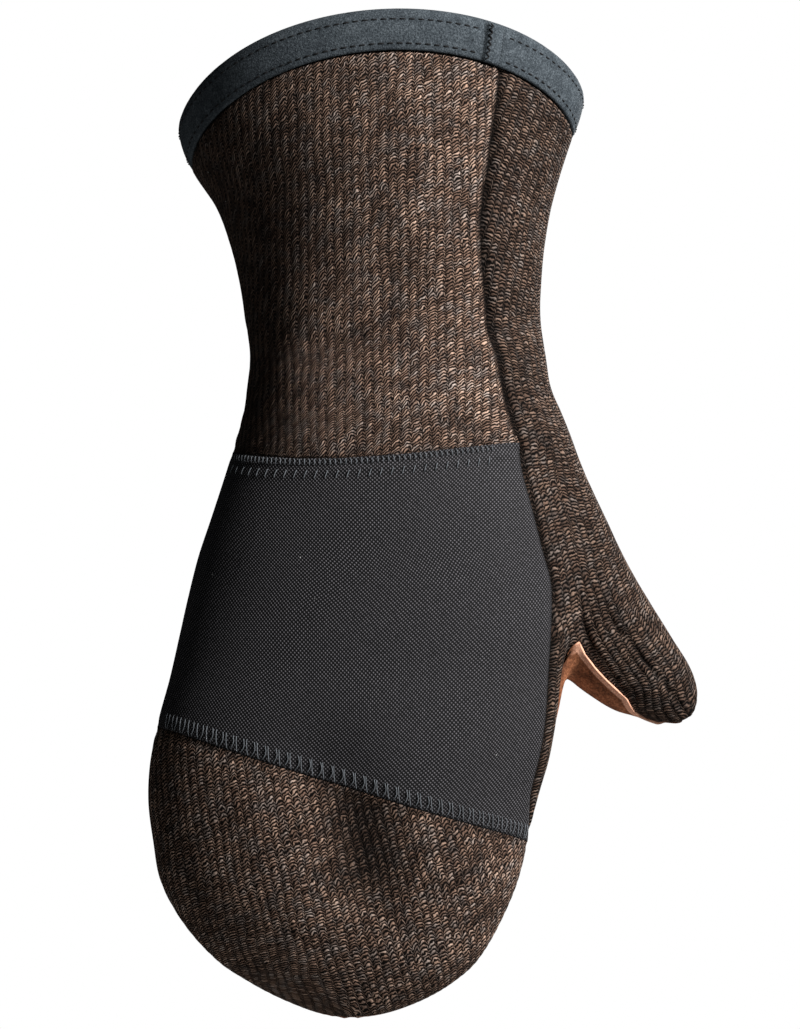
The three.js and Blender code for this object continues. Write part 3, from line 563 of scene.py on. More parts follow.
def sew(grids, maps):
    """Joins grids of points into one sheet. Points on the grids' edges that lie nearly in one place
    become one, and a face whose corners have met becomes a triangle. Gives the points, their places in
    the cloth, which point each one has become, the faces, and the number of each grid's points."""
    points = np.concatenate([grid.reshape(-1, 3) for grid in grids])
    places = np.concatenate([place.reshape(-1, 2) for place in maps])
    numbers = np.split(np.arange(len(points)), np.cumsum([grid[..., 0].size for grid in grids])[:-1])
    numbers = [part.reshape(grid.shape[:2]) for part, grid in zip(numbers, grids)]
    rim = np.unique(np.concatenate([np.r_[n[0], n[-1], n[:, 0], n[:, -1]] for n in numbers]))
    spots = points[rim]
    square = (spots**2).sum(axis=1)
    apart = square[:, None] + square[None] - 2 * spots @ spots.T
    same = np.arange(len(points))
    same[rim] = rim[(apart < MEETING**2).argmax(axis=1)]
    corners = np.concatenate([quads(n) for n in numbers])
    return points, places, same, pinched(corners, same), numbers


def outline(faces, same):
    """The edges that belong to one face only, as pairs that run the way the faces turn."""
    pairs = [np.stack([same[f], same[np.roll(f, -1, axis=1)]], -1).reshape(-1, 2) for f in faces]
    edges = np.concatenate(pairs)
    count = len(same)
    keys = edges[:, 0] * count + edges[:, 1]
    return edges[~np.isin(keys, edges[:, 1] * count + edges[:, 0])]


def distance_from(points, line, reach):
    """Distance of each point from the nearest of a line's points, and no more than reach."""
    nearest = []
    square = (line**2).sum(axis=1)
    for part in np.split(points, range(20000, len(points), 20000)):
        apart = (part**2).sum(axis=1)[:, None] + square[None] - 2 * part @ line.T
        nearest.append(np.minimum(np.sqrt(np.maximum(apart.min(axis=1), 0)), reach))
    return np.concatenate(nearest)


def make_piece(name, points, faces, material, map_name=None, corner_places=None, marks=None):
    """Puts points in millimetres, faces of any number of corners, the corners' places in the cloth and
    marks for each point into a mesh, which is shaded smooth."""
    used, spots = np.unique(np.concatenate([f.ravel() for f in faces]), return_inverse=True)
    ends = np.cumsum([f.size for f in faces])[:-1]
    shaped = [part.reshape(f.shape) for part, f in zip(np.split(spots, ends), faces)]
    mesh = bpy.data.meshes.new(name)
    mesh.from_pydata((points[used] * MM).tolist(), [], [row for f in shaped for row in f.tolist()])
    if map_name:
        layer = mesh.uv_layers.new(name=map_name)
        layer.data.foreach_set("uv", corner_places.astype(np.float32).ravel())
    for mark, values in (marks or {}).items():
        attribute = mesh.attributes.new(mark, "FLOAT", "POINT")
        attribute.data.foreach_set("value", values[used].astype(np.float32))
    mesh.polygons.foreach_set("use_smooth", np.ones(len(mesh.polygons), bool))
    mesh.materials.append(material)
    mesh.update()
    piece = bpy.data.objects.new(name, mesh)
    bpy.context.scene.collection.objects.link(piece)
    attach(piece, "root")
    return piece


# How far below its middle height the relief starts to get painted shade that darkens the cloth
VALLEY_START = 0.16


def cloth_wall(name, grids, maps, map_name, thickness, relief, roll, roll_width, material, extra=None):
    """A wall of cloth. The outer side is the sheet, lifted by its relief and rolled in at its seams by
    roll times a bell of the distance from them. The inner side is a coarser copy, a thickness further
    in, and the edge between them is one face for each of its steps."""
    points, places, same, faces, numbers = sew(grids, maps)
    border = outline(faces, same)
    seam_line = points[np.unique(border)]
    away = distance_from(points, seam_line, 4 * roll_width)
    at_seam = bell(away, roll_width)
    press = np.where(points[:, 2] > LEATHER_LEVEL, pressed_in(points), 0)
    at_seam *= 1 - press / TAPE_PRESS
    normal = outward(points)
    lift = np.concatenate([r.ravel() for r in relief]) * (1 - at_seam)
    rolled = roll * at_seam
    # The seam mark paints shade where the cloth rolls in at its seams, and the valley mark paints shade
    # where the relief sinks.
    marks = {"seam": at_seam, "valley": np.clip(-lift - VALLEY_START, 0, 1)}
    if extra is not None:
        rolled, changed = extra(points, rolled, at_seam)
        marks.update(changed)
    outer = points + normal * (lift - rolled - press)[:, None]
    inner = outer - normal * (thickness * (1 - SEAM_THINNER * at_seam) + lift)[:, None]
    count = len(points)
    marks = {mark: np.r_[values, values] for mark, values in marks.items()}
    keys = border[:, 0] * count + border[:, 1]
    rims = []
    for n in numbers:
        for side in (n[:, 0], n[-1], n[::-1, -1], n[0, ::-1]):
            steps = np.arange(0, len(side) - 1, STRIDE)
            run = side[steps[:, None] + np.arange(STRIDE + 1)]
            open_edge = np.isin(same[run[:, 0]] * count + same[run[:, 1]], keys)
            run = run[open_edge]
            under = run[:, [0, -1]] + count
            rims.append(np.concatenate([run[:, :1], under, run[:, :0:-1]], 1))
    far = np.concatenate([quads(n[::STRIDE, ::STRIDE])[:, [0, 3, 2, 1]] for n in numbers])
    every = faces + [part + count for part in pinched(far, same)] + [np.concatenate(rims)]
    corner_places = np.concatenate([places[f.ravel() % count] for f in every])
    joined = np.r_[same, same + count]
    sides = np.concatenate([outer, inner])
    return make_piece(name, sides, [joined[f] for f in every], material, map_name, corner_places, marks)


# Brown heather knit, as colours in linear light: the painted shade between the yarns, which also darkens
# the seams, the valleys and the little-finger side, the yarn's own shades, and the bluish grey that some
# yarns are dulled to
KNIT_PAINTED_SHADE = (0.0035, 0.0022, 0.0017)
YARN_SHADES = [
    (0.0, (0.045, 0.028, 0.02)),
    (0.25, (0.12, 0.073, 0.052)),
    (0.42, (0.26, 0.16, 0.115)),
    (0.6, (0.48, 0.31, 0.225)),
    (0.8, (0.72, 0.50, 0.38)),
    (0.9, (0.80, 0.64, 0.54)),
]
SMOKY_TINT = (0.72, 0.75, 0.76)
SMOKY_SHARE = [(0.5, (0, 0, 0)), (0.72, (0.5, 0.5, 0.5))]

# Specks of lint: how many cells of them to a metre, their share of a cell, and their colour
LINT_SPREAD, LINT_SIZE, LINT_COLOUR = 75.0, 0.014, (0.42, 0.42, 0.40)

# The knit's noises: how many waves to a metre, and how much detail
SHAKE_NOISE, SWAY_NOISE, CLOUD_NOISE = (700.0, 1.0), (620.0, 1.0), (110.0, 3.0)
FIBRE_NOISE, SMOKE_NOISE = (2600.0, 2.0), (330.0, 2.0)

# How far the noises shake a stitch across and down, the wide leg's share of the stitch, where the narrow
# leg starts, how sharp a strand is, how square its ends, and how much lower the narrow leg, which the
# painted shade between the strands also makes darker
SHAKE, SWAY = 0.5, 1.3
WIDE_LEG, NARROW_START = 0.76, 0.3
STRAND_SHARP, STRAND_SQUARE, NARROW_LOWER = 1.3, 0.3, 0.5

# Shares of chance, cloud and fibre in a stitch's shade, and what is taken off
BY_CHANCE, BY_CLOUD, BY_FIBRE, SHADE_LESS, SMOKE_BY_CHANCE = 0.4, 0.5, 0.35, 0.15, 0.12

# How much painted shade darkens the knit in the seams and in the valleys of its relief
SEAM_DARK, SEAM_SHARP, VALLEY_DARK = 0.9, 1.5, 1.2


class Finish:
    """A material's nodes, with a short call for each sum and each texture."""

    def __init__(self, name):
        self.material = bpy.data.materials.new(name)
        self.material.use_nodes = True
        self.tree = self.material.node_tree
        self.shader = self.tree.nodes["Principled BSDF"]
        self.body = self.node("ShaderNodeTexCoord").outputs["Object"]

    def node(self, kind, inputs=None, **settings):
        """A node with its settings, and with its inputs linked or set."""
        made = self.tree.nodes.new(kind)
        for key, value in settings.items():
            setattr(made, key, value)
        for key, value in (inputs or {}).items():
            if isinstance(value, bpy.types.NodeSocket):
                self.tree.links.new(value, made.inputs[key])
            else:
                made.inputs[key].default_value = value
        return made

    def sum(self, operation, *values):
        """One step of arithmetic."""
        return self.node("ShaderNodeMath", dict(enumerate(values)), operation=operation).outputs[0]

    def noise(self, scale, detail=2.0, rough=0.5):
        """Smooth noise from 0 to 1, fixed to the piece."""
        inputs = {"Vector": self.body, "Scale": scale, "Detail": detail, "Roughness": rough}
        return self.node("ShaderNodeTexNoise", inputs).outputs["Fac"]

    def mark(self, name):
        """A mark that the piece's points carry."""
        return self.node("ShaderNodeAttribute", attribute_name=name).outputs["Fac"]

    def places(self, name):
        """The two places of the piece's own map."""
        place = self.node("ShaderNodeUVMap", uv_map=name).outputs[0]
        return self.node("ShaderNodeSeparateXYZ", {0: place}).outputs

    def ramp(self, value, stops):
        """Colours or greys along a value."""
        made = self.node("ShaderNodeValToRGB", {"Fac": value})
        band = made.color_ramp
        while len(band.elements) < len(stops):
            band.elements.new(1)
        for element, (place, colour) in zip(band.elements, stops):
            element.position = place
            element.color = (*colour, 1)
        return made.outputs["Color"]

    def blend(self, share, first, second, way="MIX", kind="RGBA"):
        """Two colours, or two numbers, mixed by a share."""
        if kind == "FLOAT":
            return self.node("ShaderNodeMix", {0: share, 2: first, 3: second}, data_type=kind).outputs[0]
        first, second = ((*each, 1) if isinstance(each, tuple) else each for each in (first, second))
        pairs = {0: share, 6: first, 7: second}
        return self.node("ShaderNodeMix", pairs, data_type=kind, blend_type=way).outputs[2]

    def linty(self, colour):
        """A colour with specks of lint."""
        cells = self.node("ShaderNodeTexVoronoi", {"Vector": self.body, "Scale": LINT_SPREAD})
        return self.blend(self.sum("LESS_THAN", cells.outputs["Distance"], LINT_SIZE), colour, LINT_COLOUR)

    def finish(self, colour, height, depth, strength, rough, shine):
        """Links the colour and the bump, and sets the shader's own roughness and shine."""
        bump = self.node("ShaderNodeBump", {"Height": height, "Distance": depth, "Strength": strength})
        self.tree.links.new(bump.outputs[0], self.shader.inputs["Normal"])
        self.tree.links.new(colour, self.shader.inputs["Base Color"])
        self.shader.inputs["Roughness"].default_value = rough
        self.shader.inputs["Specular IOR Level"].default_value = shine
        return self.material


def knit_finish(name, rise, fall, bow, brightness):
    """Stitches on the piece's own map, two legs wide. A wide strand rises to the right over most of that
    width by so many courses, bent like a bow, and a narrow one falls back. Each has a shade of its own,
    broken up by noise. Painted shade darkens the colour where a strand is low, between the strands, and
    also in the seams, on the little-finger side and in the valleys of the relief. The brightness darkens
    the whole knit."""
    look = Finish(name)
    parts = look.places("stitches")
    shake = look.sum("MULTIPLY", look.sum("SUBTRACT", look.noise(*SHAKE_NOISE), 0.5), SHAKE)
    sway = look.sum("MULTIPLY", look.sum("SUBTRACT", look.noise(*SWAY_NOISE), 0.5), SWAY)
    wales = look.sum("MULTIPLY_ADD", parts[0], 0.5, shake)
    wale = look.sum("FLOOR", wales)
    within = look.sum("FRACT", wales)
    side = look.sum("GREATER_THAN", within, WIDE_LEG)
    wide = look.sum("SUBTRACT", look.sum("DIVIDE", within, WIDE_LEG), 0.5)
    beyond = look.sum("SUBTRACT", within, WIDE_LEG)
    narrow = look.sum("SUBTRACT", look.sum("DIVIDE", beyond, 1 - WIDE_LEG), 0.5)
    bowed = look.sum("MULTIPLY", look.sum("MULTIPLY", wide, wide), -bow)
    on_wide = look.sum("MULTIPLY_ADD", wide, rise, bowed)
    on_narrow = look.sum("MULTIPLY_ADD", narrow, -fall, NARROW_START)
    risen = look.blend(side, on_wide, on_narrow, kind="FLOAT")
    course = look.sum("ADD", look.sum("ADD", parts[1], sway), risen)
    across = look.blend(side, wide, narrow, kind="FLOAT")
    wave = look.sum("COSINE", look.sum("MULTIPLY", look.sum("SUBTRACT", course, 0.5), 2 * math.pi))
    strand = look.sum("POWER", look.sum("MULTIPLY_ADD", wave, 0.5, 0.5), STRAND_SHARP)
    round_leg = look.sum("POWER", look.sum("COSINE", look.sum("MULTIPLY", across, math.pi)), STRAND_SQUARE)
    weak = look.sum("MULTIPLY_ADD", side, -NARROW_LOWER, 1.0)
    height = look.sum("MULTIPLY", look.sum("MULTIPLY", strand, round_leg), weak)
    leg = look.sum("MULTIPLY_ADD", wale, 2.0, side)
    spot = look.node("ShaderNodeCombineXYZ", {0: leg, 1: look.sum("FLOOR", course)}).outputs[0]
    chance = look.node("ShaderNodeTexWhiteNoise", {"Vector": spot}, noise_dimensions="2D").outputs["Value"]
    cloud = look.sum("MULTIPLY", look.noise(*CLOUD_NOISE), BY_CLOUD)
    shade = look.sum("SUBTRACT", look.sum("MULTIPLY_ADD", chance, BY_CHANCE, cloud), SHADE_LESS)
    yarn = look.ramp(look.sum("MULTIPLY_ADD", look.noise(*FIBRE_NOISE), BY_FIBRE, shade), YARN_SHADES)
    smoke = look.sum("ADD", look.noise(*SMOKE_NOISE), look.sum("MULTIPLY", chance, SMOKE_BY_CHANCE))
    grey = look.blend(1.0, look.node("ShaderNodeRGBToBW", {0: yarn}).outputs[0], SMOKY_TINT, "MULTIPLY")
    yarn = look.blend(look.ramp(smoke, SMOKY_SHARE), yarn, grey)
    # Painted shade: the colour goes to the dark shade where the strands are low, between them.
    colour = look.blend(look.ramp(height, [(0.1, (0, 0, 0)), (0.75, (1, 1, 1))]), KNIT_PAINTED_SHADE, yarn)
    # Painted shade in the seams, on the little-finger side and in the valleys of the relief.
    seam_shade = look.sum("MULTIPLY", look.sum("POWER", look.mark("seam"), SEAM_SHARP), SEAM_DARK)
    for dark in (seam_shade, look.mark("far"), look.sum("MULTIPLY", look.mark("valley"), VALLEY_DARK)):
        colour = look.blend(dark, colour, KNIT_PAINTED_SHADE)
    colour = look.linty(look.blend(1.0, colour, (brightness,) * 3, "MULTIPLY"))
    return look.finish(colour, height, 0.32 * MM, 0.9, 0.95, 0.1)


# Steps of the panel's grid across the back, across the palm side, down to the leather, and below it
BACK_STEPS, PALM_STEPS, UPPER_STEPS, LOWER_STEPS = 342, 270, 96, 42
KNIT_ROLL, KNIT_ROLL_WIDTH = 1.5, 1.7

# Place across the hand of the upright line from which the stitches are counted, and the wales' lean and
# the courses' tilt in degrees
CUFF_UPRIGHT, CUFF_LEAN, CUFF_TILT = 12, 1, 5

# Angles over which painted shade darkens the knit towards the little finger, how dark, and over which that
# ends
DARK_START, DARK_FULL, DARKEST = -20, 75, 0.66
DARK_ENDS, DARK_GONE = 95, 125

knit = knit_finish("brown_heather_knit", rise=1.6, fall=0.9, bow=0.7, brightness=1.0)
back_upper = band(left, front, panel_top, leather_top, BACK_STEPS, UPPER_STEPS)
back_lower = band(left, front, leather_top, knuckle_top, BACK_STEPS, LOWER_STEPS)
palm_upper = band(lambda z: palm(z) - FULL_TURN, left, panel_top, leather_top, PALM_STEPS, UPPER_STEPS)
cuff_grids = [settle(stack(back_upper, back_lower)), settle(palm_upper)]
(back_across, back_down), (palm_across, palm_down) = (lengths(grid) for grid in cuff_grids)
back_across = from_upright(back_across, cuff_grids[0], CUFF_UPRIGHT)
palm_across += (back_across[: UPPER_STEPS + 1, 0] - palm_across[:, -1])[:, None]
palm_down += (back_down[: UPPER_STEPS + 1, 0] - palm_down[:, -1])[:, None]
cuff_maps = [
    stitch_map(across, down, slope(CUFF_LEAN), slope(CUFF_TILT))
    for across, down in ((back_across, back_down), (palm_across, palm_down))
]
cuff_relief = [knit_relief(places, WALE_RIDGE) for places in cuff_maps]


def paint_side_shade(points, rolled, at_seam):
    """Painted shade darkens the knit towards the little finger by a soft step of the angle, and not round
    the palm.
    """
    rolled, marks = flat_seam(points, rolled, at_seam)
    turn = hand_turn(points)
    not_palm = 1 - ease(np.abs(turn), DARK_ENDS, DARK_GONE)
    # The far mark is painted shade on the side turned from the lamp.
    marks["far"] = DARKEST * ease(-turn, DARK_START, DARK_FULL) * not_palm
    return rolled, marks


cuff_panel = cloth_wall(
    "knit_cuff", cuff_grids, cuff_maps, "stitches", KNIT_THICKNESS, cuff_relief,
    KNIT_ROLL, KNIT_ROLL_WIDTH, knit, paint_side_shade,
)
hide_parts("cuff_panel")

# Knuckle panel
# A band of black stretch cloth across the knuckles, woven fine, with small raised dots in diagonal
# lines. Flat seams join it to the knit above and below.
CLOTH_THICKNESS = 1.8
DOT_PITCH = 0.77
KNUCKLE_COLUMNS, KNUCKLE_ROWS = 162, 132
KNUCKLE_ROLL, KNUCKLE_ROLL_WIDTH = 1.0, 1.4

# The cloth is turned in under its upper seam, which shows as a low ridge: how far below the seam, how
# high and how soft, and where it fades in across the panel
TURNED_WIDTH, TURNED_HEIGHT, TURNED_SOFT = 3.4, 0.3, 0.6
TURNED_FROM, TURNED_FULL = -20, 10


def knuckle_finish():
    """Dots where two sets of diagonal waves have their crests, grey on black, on the piece's own map."""
    look = Finish("black_stretch_cloth")
    parts = look.places("weave")
    waves = []
    for way in ("ADD", "SUBTRACT"):
        along = look.sum(way, parts[0], parts[1])
        turn = look.sum("MULTIPLY", along, 2 * math.pi / (math.sqrt(2) * DOT_PITCH))
        waves.append(look.sum("MULTIPLY_ADD", look.sum("COSINE", turn), 0.5, 0.5))
    height = look.sum("MULTIPLY", *waves)
    shown = look.sum("MULTIPLY", height, look.sum("MULTIPLY_ADD", look.noise(1400.0), 1.3, 0.2))
    colour = look.ramp(shown, [(0.1, (0.0022, 0.0022, 0.0025)), (0.85, (0.14, 0.132, 0.142))])
    # Painted shade near the seams.
    seam_shade = look.sum("MULTIPLY", look.sum("POWER", look.mark("seam"), 2.5), 0.7)
    colour = look.linty(look.blend(seam_shade, colour, (0.004, 0.004, 0.0045)))
    return look.finish(colour, height, 0.25 * MM, 0.7, 0.8, 0.2)


knuckle_grid = settle(band(left, front, knuckle_top, knuckle_end, KNUCKLE_COLUMNS, KNUCKLE_ROWS))
knuckle_across, knuckle_down = lengths(knuckle_grid)
knuckle_across -= knuckle_across[:, KNUCKLE_COLUMNS // 2, None]
weave_map = np.stack([knuckle_across, knuckle_down], axis=-1)
weave_map += wander(knuckle_across, knuckle_down, 40, 0.5)[..., None]
turned_ridge = TURNED_HEIGHT * bell(knuckle_down - TURNED_WIDTH, TURNED_SOFT)
turned_ridge *= ease(knuckle_across, TURNED_FROM, TURNED_FULL)
knuckle_panel = cloth_wall(
    "stretch_knuckle", [knuckle_grid], [weave_map], "weave", CLOTH_THICKNESS, [turned_ridge],
    KNUCKLE_ROLL, KNUCKLE_ROLL_WIDTH, knuckle_finish(), flat_seam,
)
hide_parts("knuckle_panel")

# Fingertip panel
# The same knit over the ends of the fingers, from the knuckle panel's lower seam to the tip.
# Its stitches are counted from an upright line across the fingers, and lean more than the cuff's.
TIP_COLUMNS, TIP_ROWS, TIP_CROWDING = 336, 102, 1.35
TIP_UPRIGHT, TIP_LEAN, TIP_TILT = -7.7, 12, 8

# The soft hollow between two fingers, which painted valley shade also darkens: its ends across and in
# height, how wide it is and how deep
TIP_HOLLOW_TOP, TIP_HOLLOW_END = (-6, -190), (-2, -214)
TIP_HOLLOW_WIDE, TIP_HOLLOW_DEEP = 12, 0.85


def tip_share(t):
    """Rows crowd a little towards a tip: one less the rest to a power."""
    return 1 - (1 - t) ** TIP_CROWDING


def tip_place(u, v):
    """Points of the hand from the knuckle panel's lower seam to the tip, between the two side seams."""
    return between(left, palm, knuckle_end, lambda angle: -HAND_LENGTH + 0 * angle, u, tip_share(v))


def hollow_depth(points):
    """Depth of the hollow, on the back only: a bell of the distance from the line between its ends."""
    (top_x, top_z), (end_x, end_z) = TIP_HOLLOW_TOP, TIP_HOLLOW_END
    t = np.clip((top_z - points[..., 2]) / (top_z - end_z), 0, 1)
    away = np.hypot(points[..., 0] - mix(top_x, end_x, t), points[..., 2] - mix(top_z, end_z, t))
    return TIP_HOLLOW_DEEP * bell(away, TIP_HOLLOW_WIDE) * (points[..., 1] < 0)


tip_grid = settle(tip_place(*shares(TIP_COLUMNS, TIP_ROWS)))
tip_across, tip_down = lengths(tip_grid)
tip_across = from_upright(tip_across, tip_grid, TIP_UPRIGHT)
tip_map = stitch_map(tip_across, tip_down, slope(TIP_LEAN), slope(TIP_TILT))
# The fingertips' knit is a shaded copy of the cuff's: its lower brightness is painted shade.
fingertip_panel = cloth_wall(
    "knit_fingertips", [tip_grid], [tip_map], "stitches", KNIT_THICKNESS,
    [knit_relief(tip_map, WALE_RIDGE) - hollow_depth(tip_grid)], KNIT_ROLL, KNIT_ROLL_WIDTH,
    knit_finish("brown_tip_knit", rise=1.6, fall=0.9, bow=0.7, brightness=0.88), flat_seam,
)
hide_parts("fingertip_panel")

# Side gusset
# The same knit in one piece: the side of the cuff, the back of the thumb, and a narrow strip beside the
# fingers. Its ribs run down the thumb, which is creased where it bends.
CROTCH_ALONG = 0.618 * THUMB_LENGTH
CROTCH_DIP = 0.06 * THUMB_LENGTH
KNIT_EDGE, KNIT_EDGE_DRIFT, KNIT_EDGE_TURN = -31, 14, 52
KNIT_TURN_START, KNIT_TURN_END = 0.56, 0.9
THUMB_PALM_EDGE = 150
SADDLE_BACK = 235
BRANCH_START, BRANCH_EASE = 0.42, 1.6
CORNER_SHARE = 0.2
EASE_LENGTH = 0.16 * HAND_LENGTH
STRIP_COLUMNS, SIDE_COLUMNS, TAPE_STEPS, BRANCH_STEPS, STRIP_STEPS, THUMB_STEPS = 54, 186, 12, 114, 60, 60
MORE_TURNS = 12

# The ribs are higher on the thumb: how high, and between which shares of its length they grow
THUMB_RIDGE, RIDGE_START, RIDGE_FULL = 0.36, 0.3, 0.65

# Lean of the wales and tilt of the courses: shares of the hand's length, and degrees
GUSSET_LEAN = [(0.0, -4), (0.25, -5), (0.45, -3), (0.6, 0), (1.0, 0)]
GUSSET_TILT = [(0.0, -30), (0.12, -28), (0.24, -10), (0.36, 0), (0.5, 12), (0.62, 18), (1.0, 18)]

# The leather's cut edge on the thumb: its first place, its end as a share of the thumb, its points, and
# how far from it a distance is worked out
CUT_START, CUT_END, CUT_STEPS, CUT_REACH = CROTCH_ALONG - 1, 0.95, 160, 6

# Creases where the thumb bends: lines of places as shares of the thumb's width across and of its
# length along, then how wide and how deep they are in millimetres. At its ends a crease keeps a share
# of its depth, which grows towards the middle.
CREASE_STEPS, CREASE_END, CREASE_GROWS = 40, 0.3, 4
CREASES = [
    ([(-0.1, 0.62), (-0.05, 0.765), (0.0, 0.853), (0.02, 0.97)], 0.9, 0.65),
    ([(-0.29, 0.56), (-0.34, 0.63), (-0.4, 0.7)], 1.1, 0.55),
    ([(-0.4, 0.72), (-0.4, 0.78), (-0.36, 0.87)], 0.8, 0.35),
    ([(0.1, 0.56), (0.2, 0.72)], 0.9, 0.35),
]


def saddle_dip(angle):
    """The crotch line dips between the thumb and the fingers by a half wave."""
    t = (angle - SADDLE_BACK) / (FULL_TURN + KNIT_EDGE - SADDLE_BACK)
    return np.where((t > 0) & (t < 1), CROTCH_DIP * np.sin(math.pi * t), 0)


def crotch_line(angle):
    """Points of the line where the thumb's tube ends in the crotch."""
    return thumb_place(angle, CROTCH_ALONG + saddle_dip(angle))


def knit_edge(along):
    """The knit's edge on the thumb, which drifts a little, and turns under the thumb towards the tip."""
    t = np.maximum(along - CROTCH_ALONG, 0) / (THUMB_LENGTH - CROTCH_ALONG)
    return KNIT_EDGE - KNIT_EDGE_DRIFT * t - KNIT_EDGE_TURN * ease(t, KNIT_TURN_START, KNIT_TURN_END)


def corner_angle(z):
    """The column that splits the gusset into the strip's side and the thumb's side."""
    return mix(front(z), palm(z), CORNER_SHARE)


def under_tape(angle):
    """The height just below the tape."""
    return rim_height(angle) - PRESS_REACH


def branch(from_hand, to_hand, from_thumb, to_thumb, part, u, v):
    """Points of a fan of lines from the rim to the crotch line, above the leather's top or below it.
    A line keeps its height and eases from its angle of the hand to its angle of the thumb."""
    thumb_angle = mix(from_thumb, to_thumb, u)
    end = crotch_line(thumb_angle)
    top = under_tape(mix(from_hand(0.0), to_hand(0.0), u))
    turn = (LEATHER_LEVEL - top) / (end[..., 2] - top)
    t = turn * v if part == "upper" else mix(turn, 1, v)
    z = mix(top, end[..., 2], t)
    start = hand_place(mix(from_hand(z), to_hand(z), u), z)
    share = (np.maximum(t - BRANCH_START, 0) / (1 - BRANCH_START)) ** BRANCH_EASE
    end = np.stack([end[..., 0], end[..., 1], z], -1)
    return mix(start, end, share[..., None])


def side_line(part, u, v):
    """The gusset's thumb side as such a fan."""
    return branch(corner_angle, palm, KNIT_EDGE, THUMB_PALM_EDGE, part, u, v)


def strip_line(part, rows):
    """The gusset's strip side: straight from the front seam to the fan's first line."""
    v = np.linspace(0, 1, rows + 1)[:, None]
    edge = settle(side_line(part, 0 * v, v), MORE_TURNS)
    seam_points = hand_place(front(edge[..., 2]), edge[..., 2])
    return mix(seam_points, edge, np.linspace(0, 1, STRIP_COLUMNS + 1)[None, :, None])


def crease_depth(points):
    """Depth of the creases: at each place, over the lines, the depth times a bell of the distance from
    the line, which is worked out at close places along it."""
    across, along = thumb_spot(points)
    total = 0
    for line, wide, deep in CREASES:
        t = np.linspace(0, len(line) - 1, CREASE_STEPS)
        over, down = (np.interp(t, np.arange(len(line)), column) for column in np.transpose(line))
        away = np.hypot(across[..., None] - over * THUMB_WIDTH, along[..., None] - down * THUMB_LENGTH)
        fade = np.minimum(1, CREASE_GROWS * np.minimum(t, t[-1] - t) / t[-1] + CREASE_END)
        total = total + (deep * fade * bell(away, wide)).max(axis=-1)
    return total * (points[..., 1] < THUMB_SET_BACK)


def slope_at(heights, stops):
    """A slope at each row's height, from a short table of shares of the length and of degrees."""
    slopes = smooth_curve([row[0] for row in stops], [slope(row[1]) for row in stops])
    return slopes(np.clip(-heights / HAND_LENGTH, 0, 1))


corner = settle(crotch_line(np.array(float(KNIT_EDGE))), MORE_TURNS)


def finger_edge(z):
    """The line between the strip and the leather, down the fingers from the corner of the crotch."""
    return mix(hand_turn(corner), palm(z), ease(-z, -corner[2], EASE_LENGTH - corner[2]))


strip_end = tip_place(np.array(1.0), np.array(0.0))[2]
u, v = shares(STRIP_COLUMNS, STRIP_STEPS)
z = mix(corner[2], strip_end, v)
low_strip = hand_place(mix(front(z), finger_edge(z), u), z)
lower_strip = strip_line("lower", BRANCH_STEPS)
low_strip[0] = lower_strip[-1]
strip_grid = settle(stack(
    band(front, corner_angle, panel_top, under_tape, STRIP_COLUMNS, TAPE_STEPS),
    strip_line("upper", UPPER_STEPS - TAPE_STEPS),
    lower_strip,
    low_strip,
))
u, v = shares(SIDE_COLUMNS, THUMB_STEPS)
along = mix(CROTCH_ALONG, THUMB_LENGTH, tip_share(v))
side_grid = settle(stack(
    band(corner_angle, palm, panel_top, under_tape, SIDE_COLUMNS, TAPE_STEPS),
    side_line("upper", *shares(SIDE_COLUMNS, UPPER_STEPS - TAPE_STEPS)),
    side_line("lower", *shares(SIDE_COLUMNS, BRANCH_STEPS)),
    thumb_place(mix(knit_edge(along), THUMB_PALM_EDGE, u), along),
))
(side_across, side_down), (strip_across, strip_down) = lengths(side_grid), lengths(strip_grid)
side_middle = SIDE_COLUMNS // 3
side_across -= side_across[:, side_middle, None]
shared = UPPER_STEPS + BRANCH_STEPS + 1
joins = side_across[:shared, 0] - strip_across[:shared, -1]
strip_across += np.pad(joins, (0, STRIP_STEPS), "edge")[:, None]
side_map, strip_map = (
    stitch_map(across, down, slope_at(heights, GUSSET_LEAN), slope_at(heights, GUSSET_TILT))
    for across, down, heights in (
        (side_across, side_down, side_grid[:, side_middle, 2]),
        (strip_across, strip_down, strip_grid[:, -1, 2]),
    )
)
on_thumb = ease(thumb_spot(side_grid)[1], RIDGE_START * THUMB_LENGTH, RIDGE_FULL * THUMB_LENGTH)
# Where this relief sinks deep, in the creases and between the thumb's ribs, painted shade darkens it.
side_relief = knit_relief(side_map, mix(WALE_RIDGE, THUMB_RIDGE, on_thumb)) - crease_depth(side_grid)
cut_along = np.linspace(CUT_START, CUT_END * THUMB_LENGTH, CUT_STEPS)
cut_edge = settle(thumb_place(knit_edge(cut_along), cut_along), MORE_TURNS)


def near_cut_edge(points, width):
    """Distances from the leather's cut edge, and a bell of them."""
    away = distance_from(points, cut_edge, CUT_REACH)
    return away, bell(away, width)


def beside_leather(points, rolled, at_seam):
    """Along the leather's cut edge on the thumb the knit lies flat and gets no painted seam shade, so that
    no dark groove shows.
    """
    _, near = near_cut_edge(points, 1.5 * KNIT_ROLL_WIDTH)
    return rolled * (1 - near), {"seam": at_seam * (1 - near)}


# The side knit's low brightness is partly its own darker yarn and partly painted shade where it turns from
# the light.
side_gusset = cloth_wall(
    "knit_gusset", [strip_grid, side_grid], [strip_map, side_map], "stitches", KNIT_THICKNESS,
    [knit_relief(strip_map, WALE_RIDGE), side_relief], KNIT_ROLL, KNIT_ROLL_WIDTH,
    knit_finish("brown_side_knit", rise=1.2, fall=0.7, bow=0.6, brightness=0.43), beside_leather,
)
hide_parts("side_gusset")

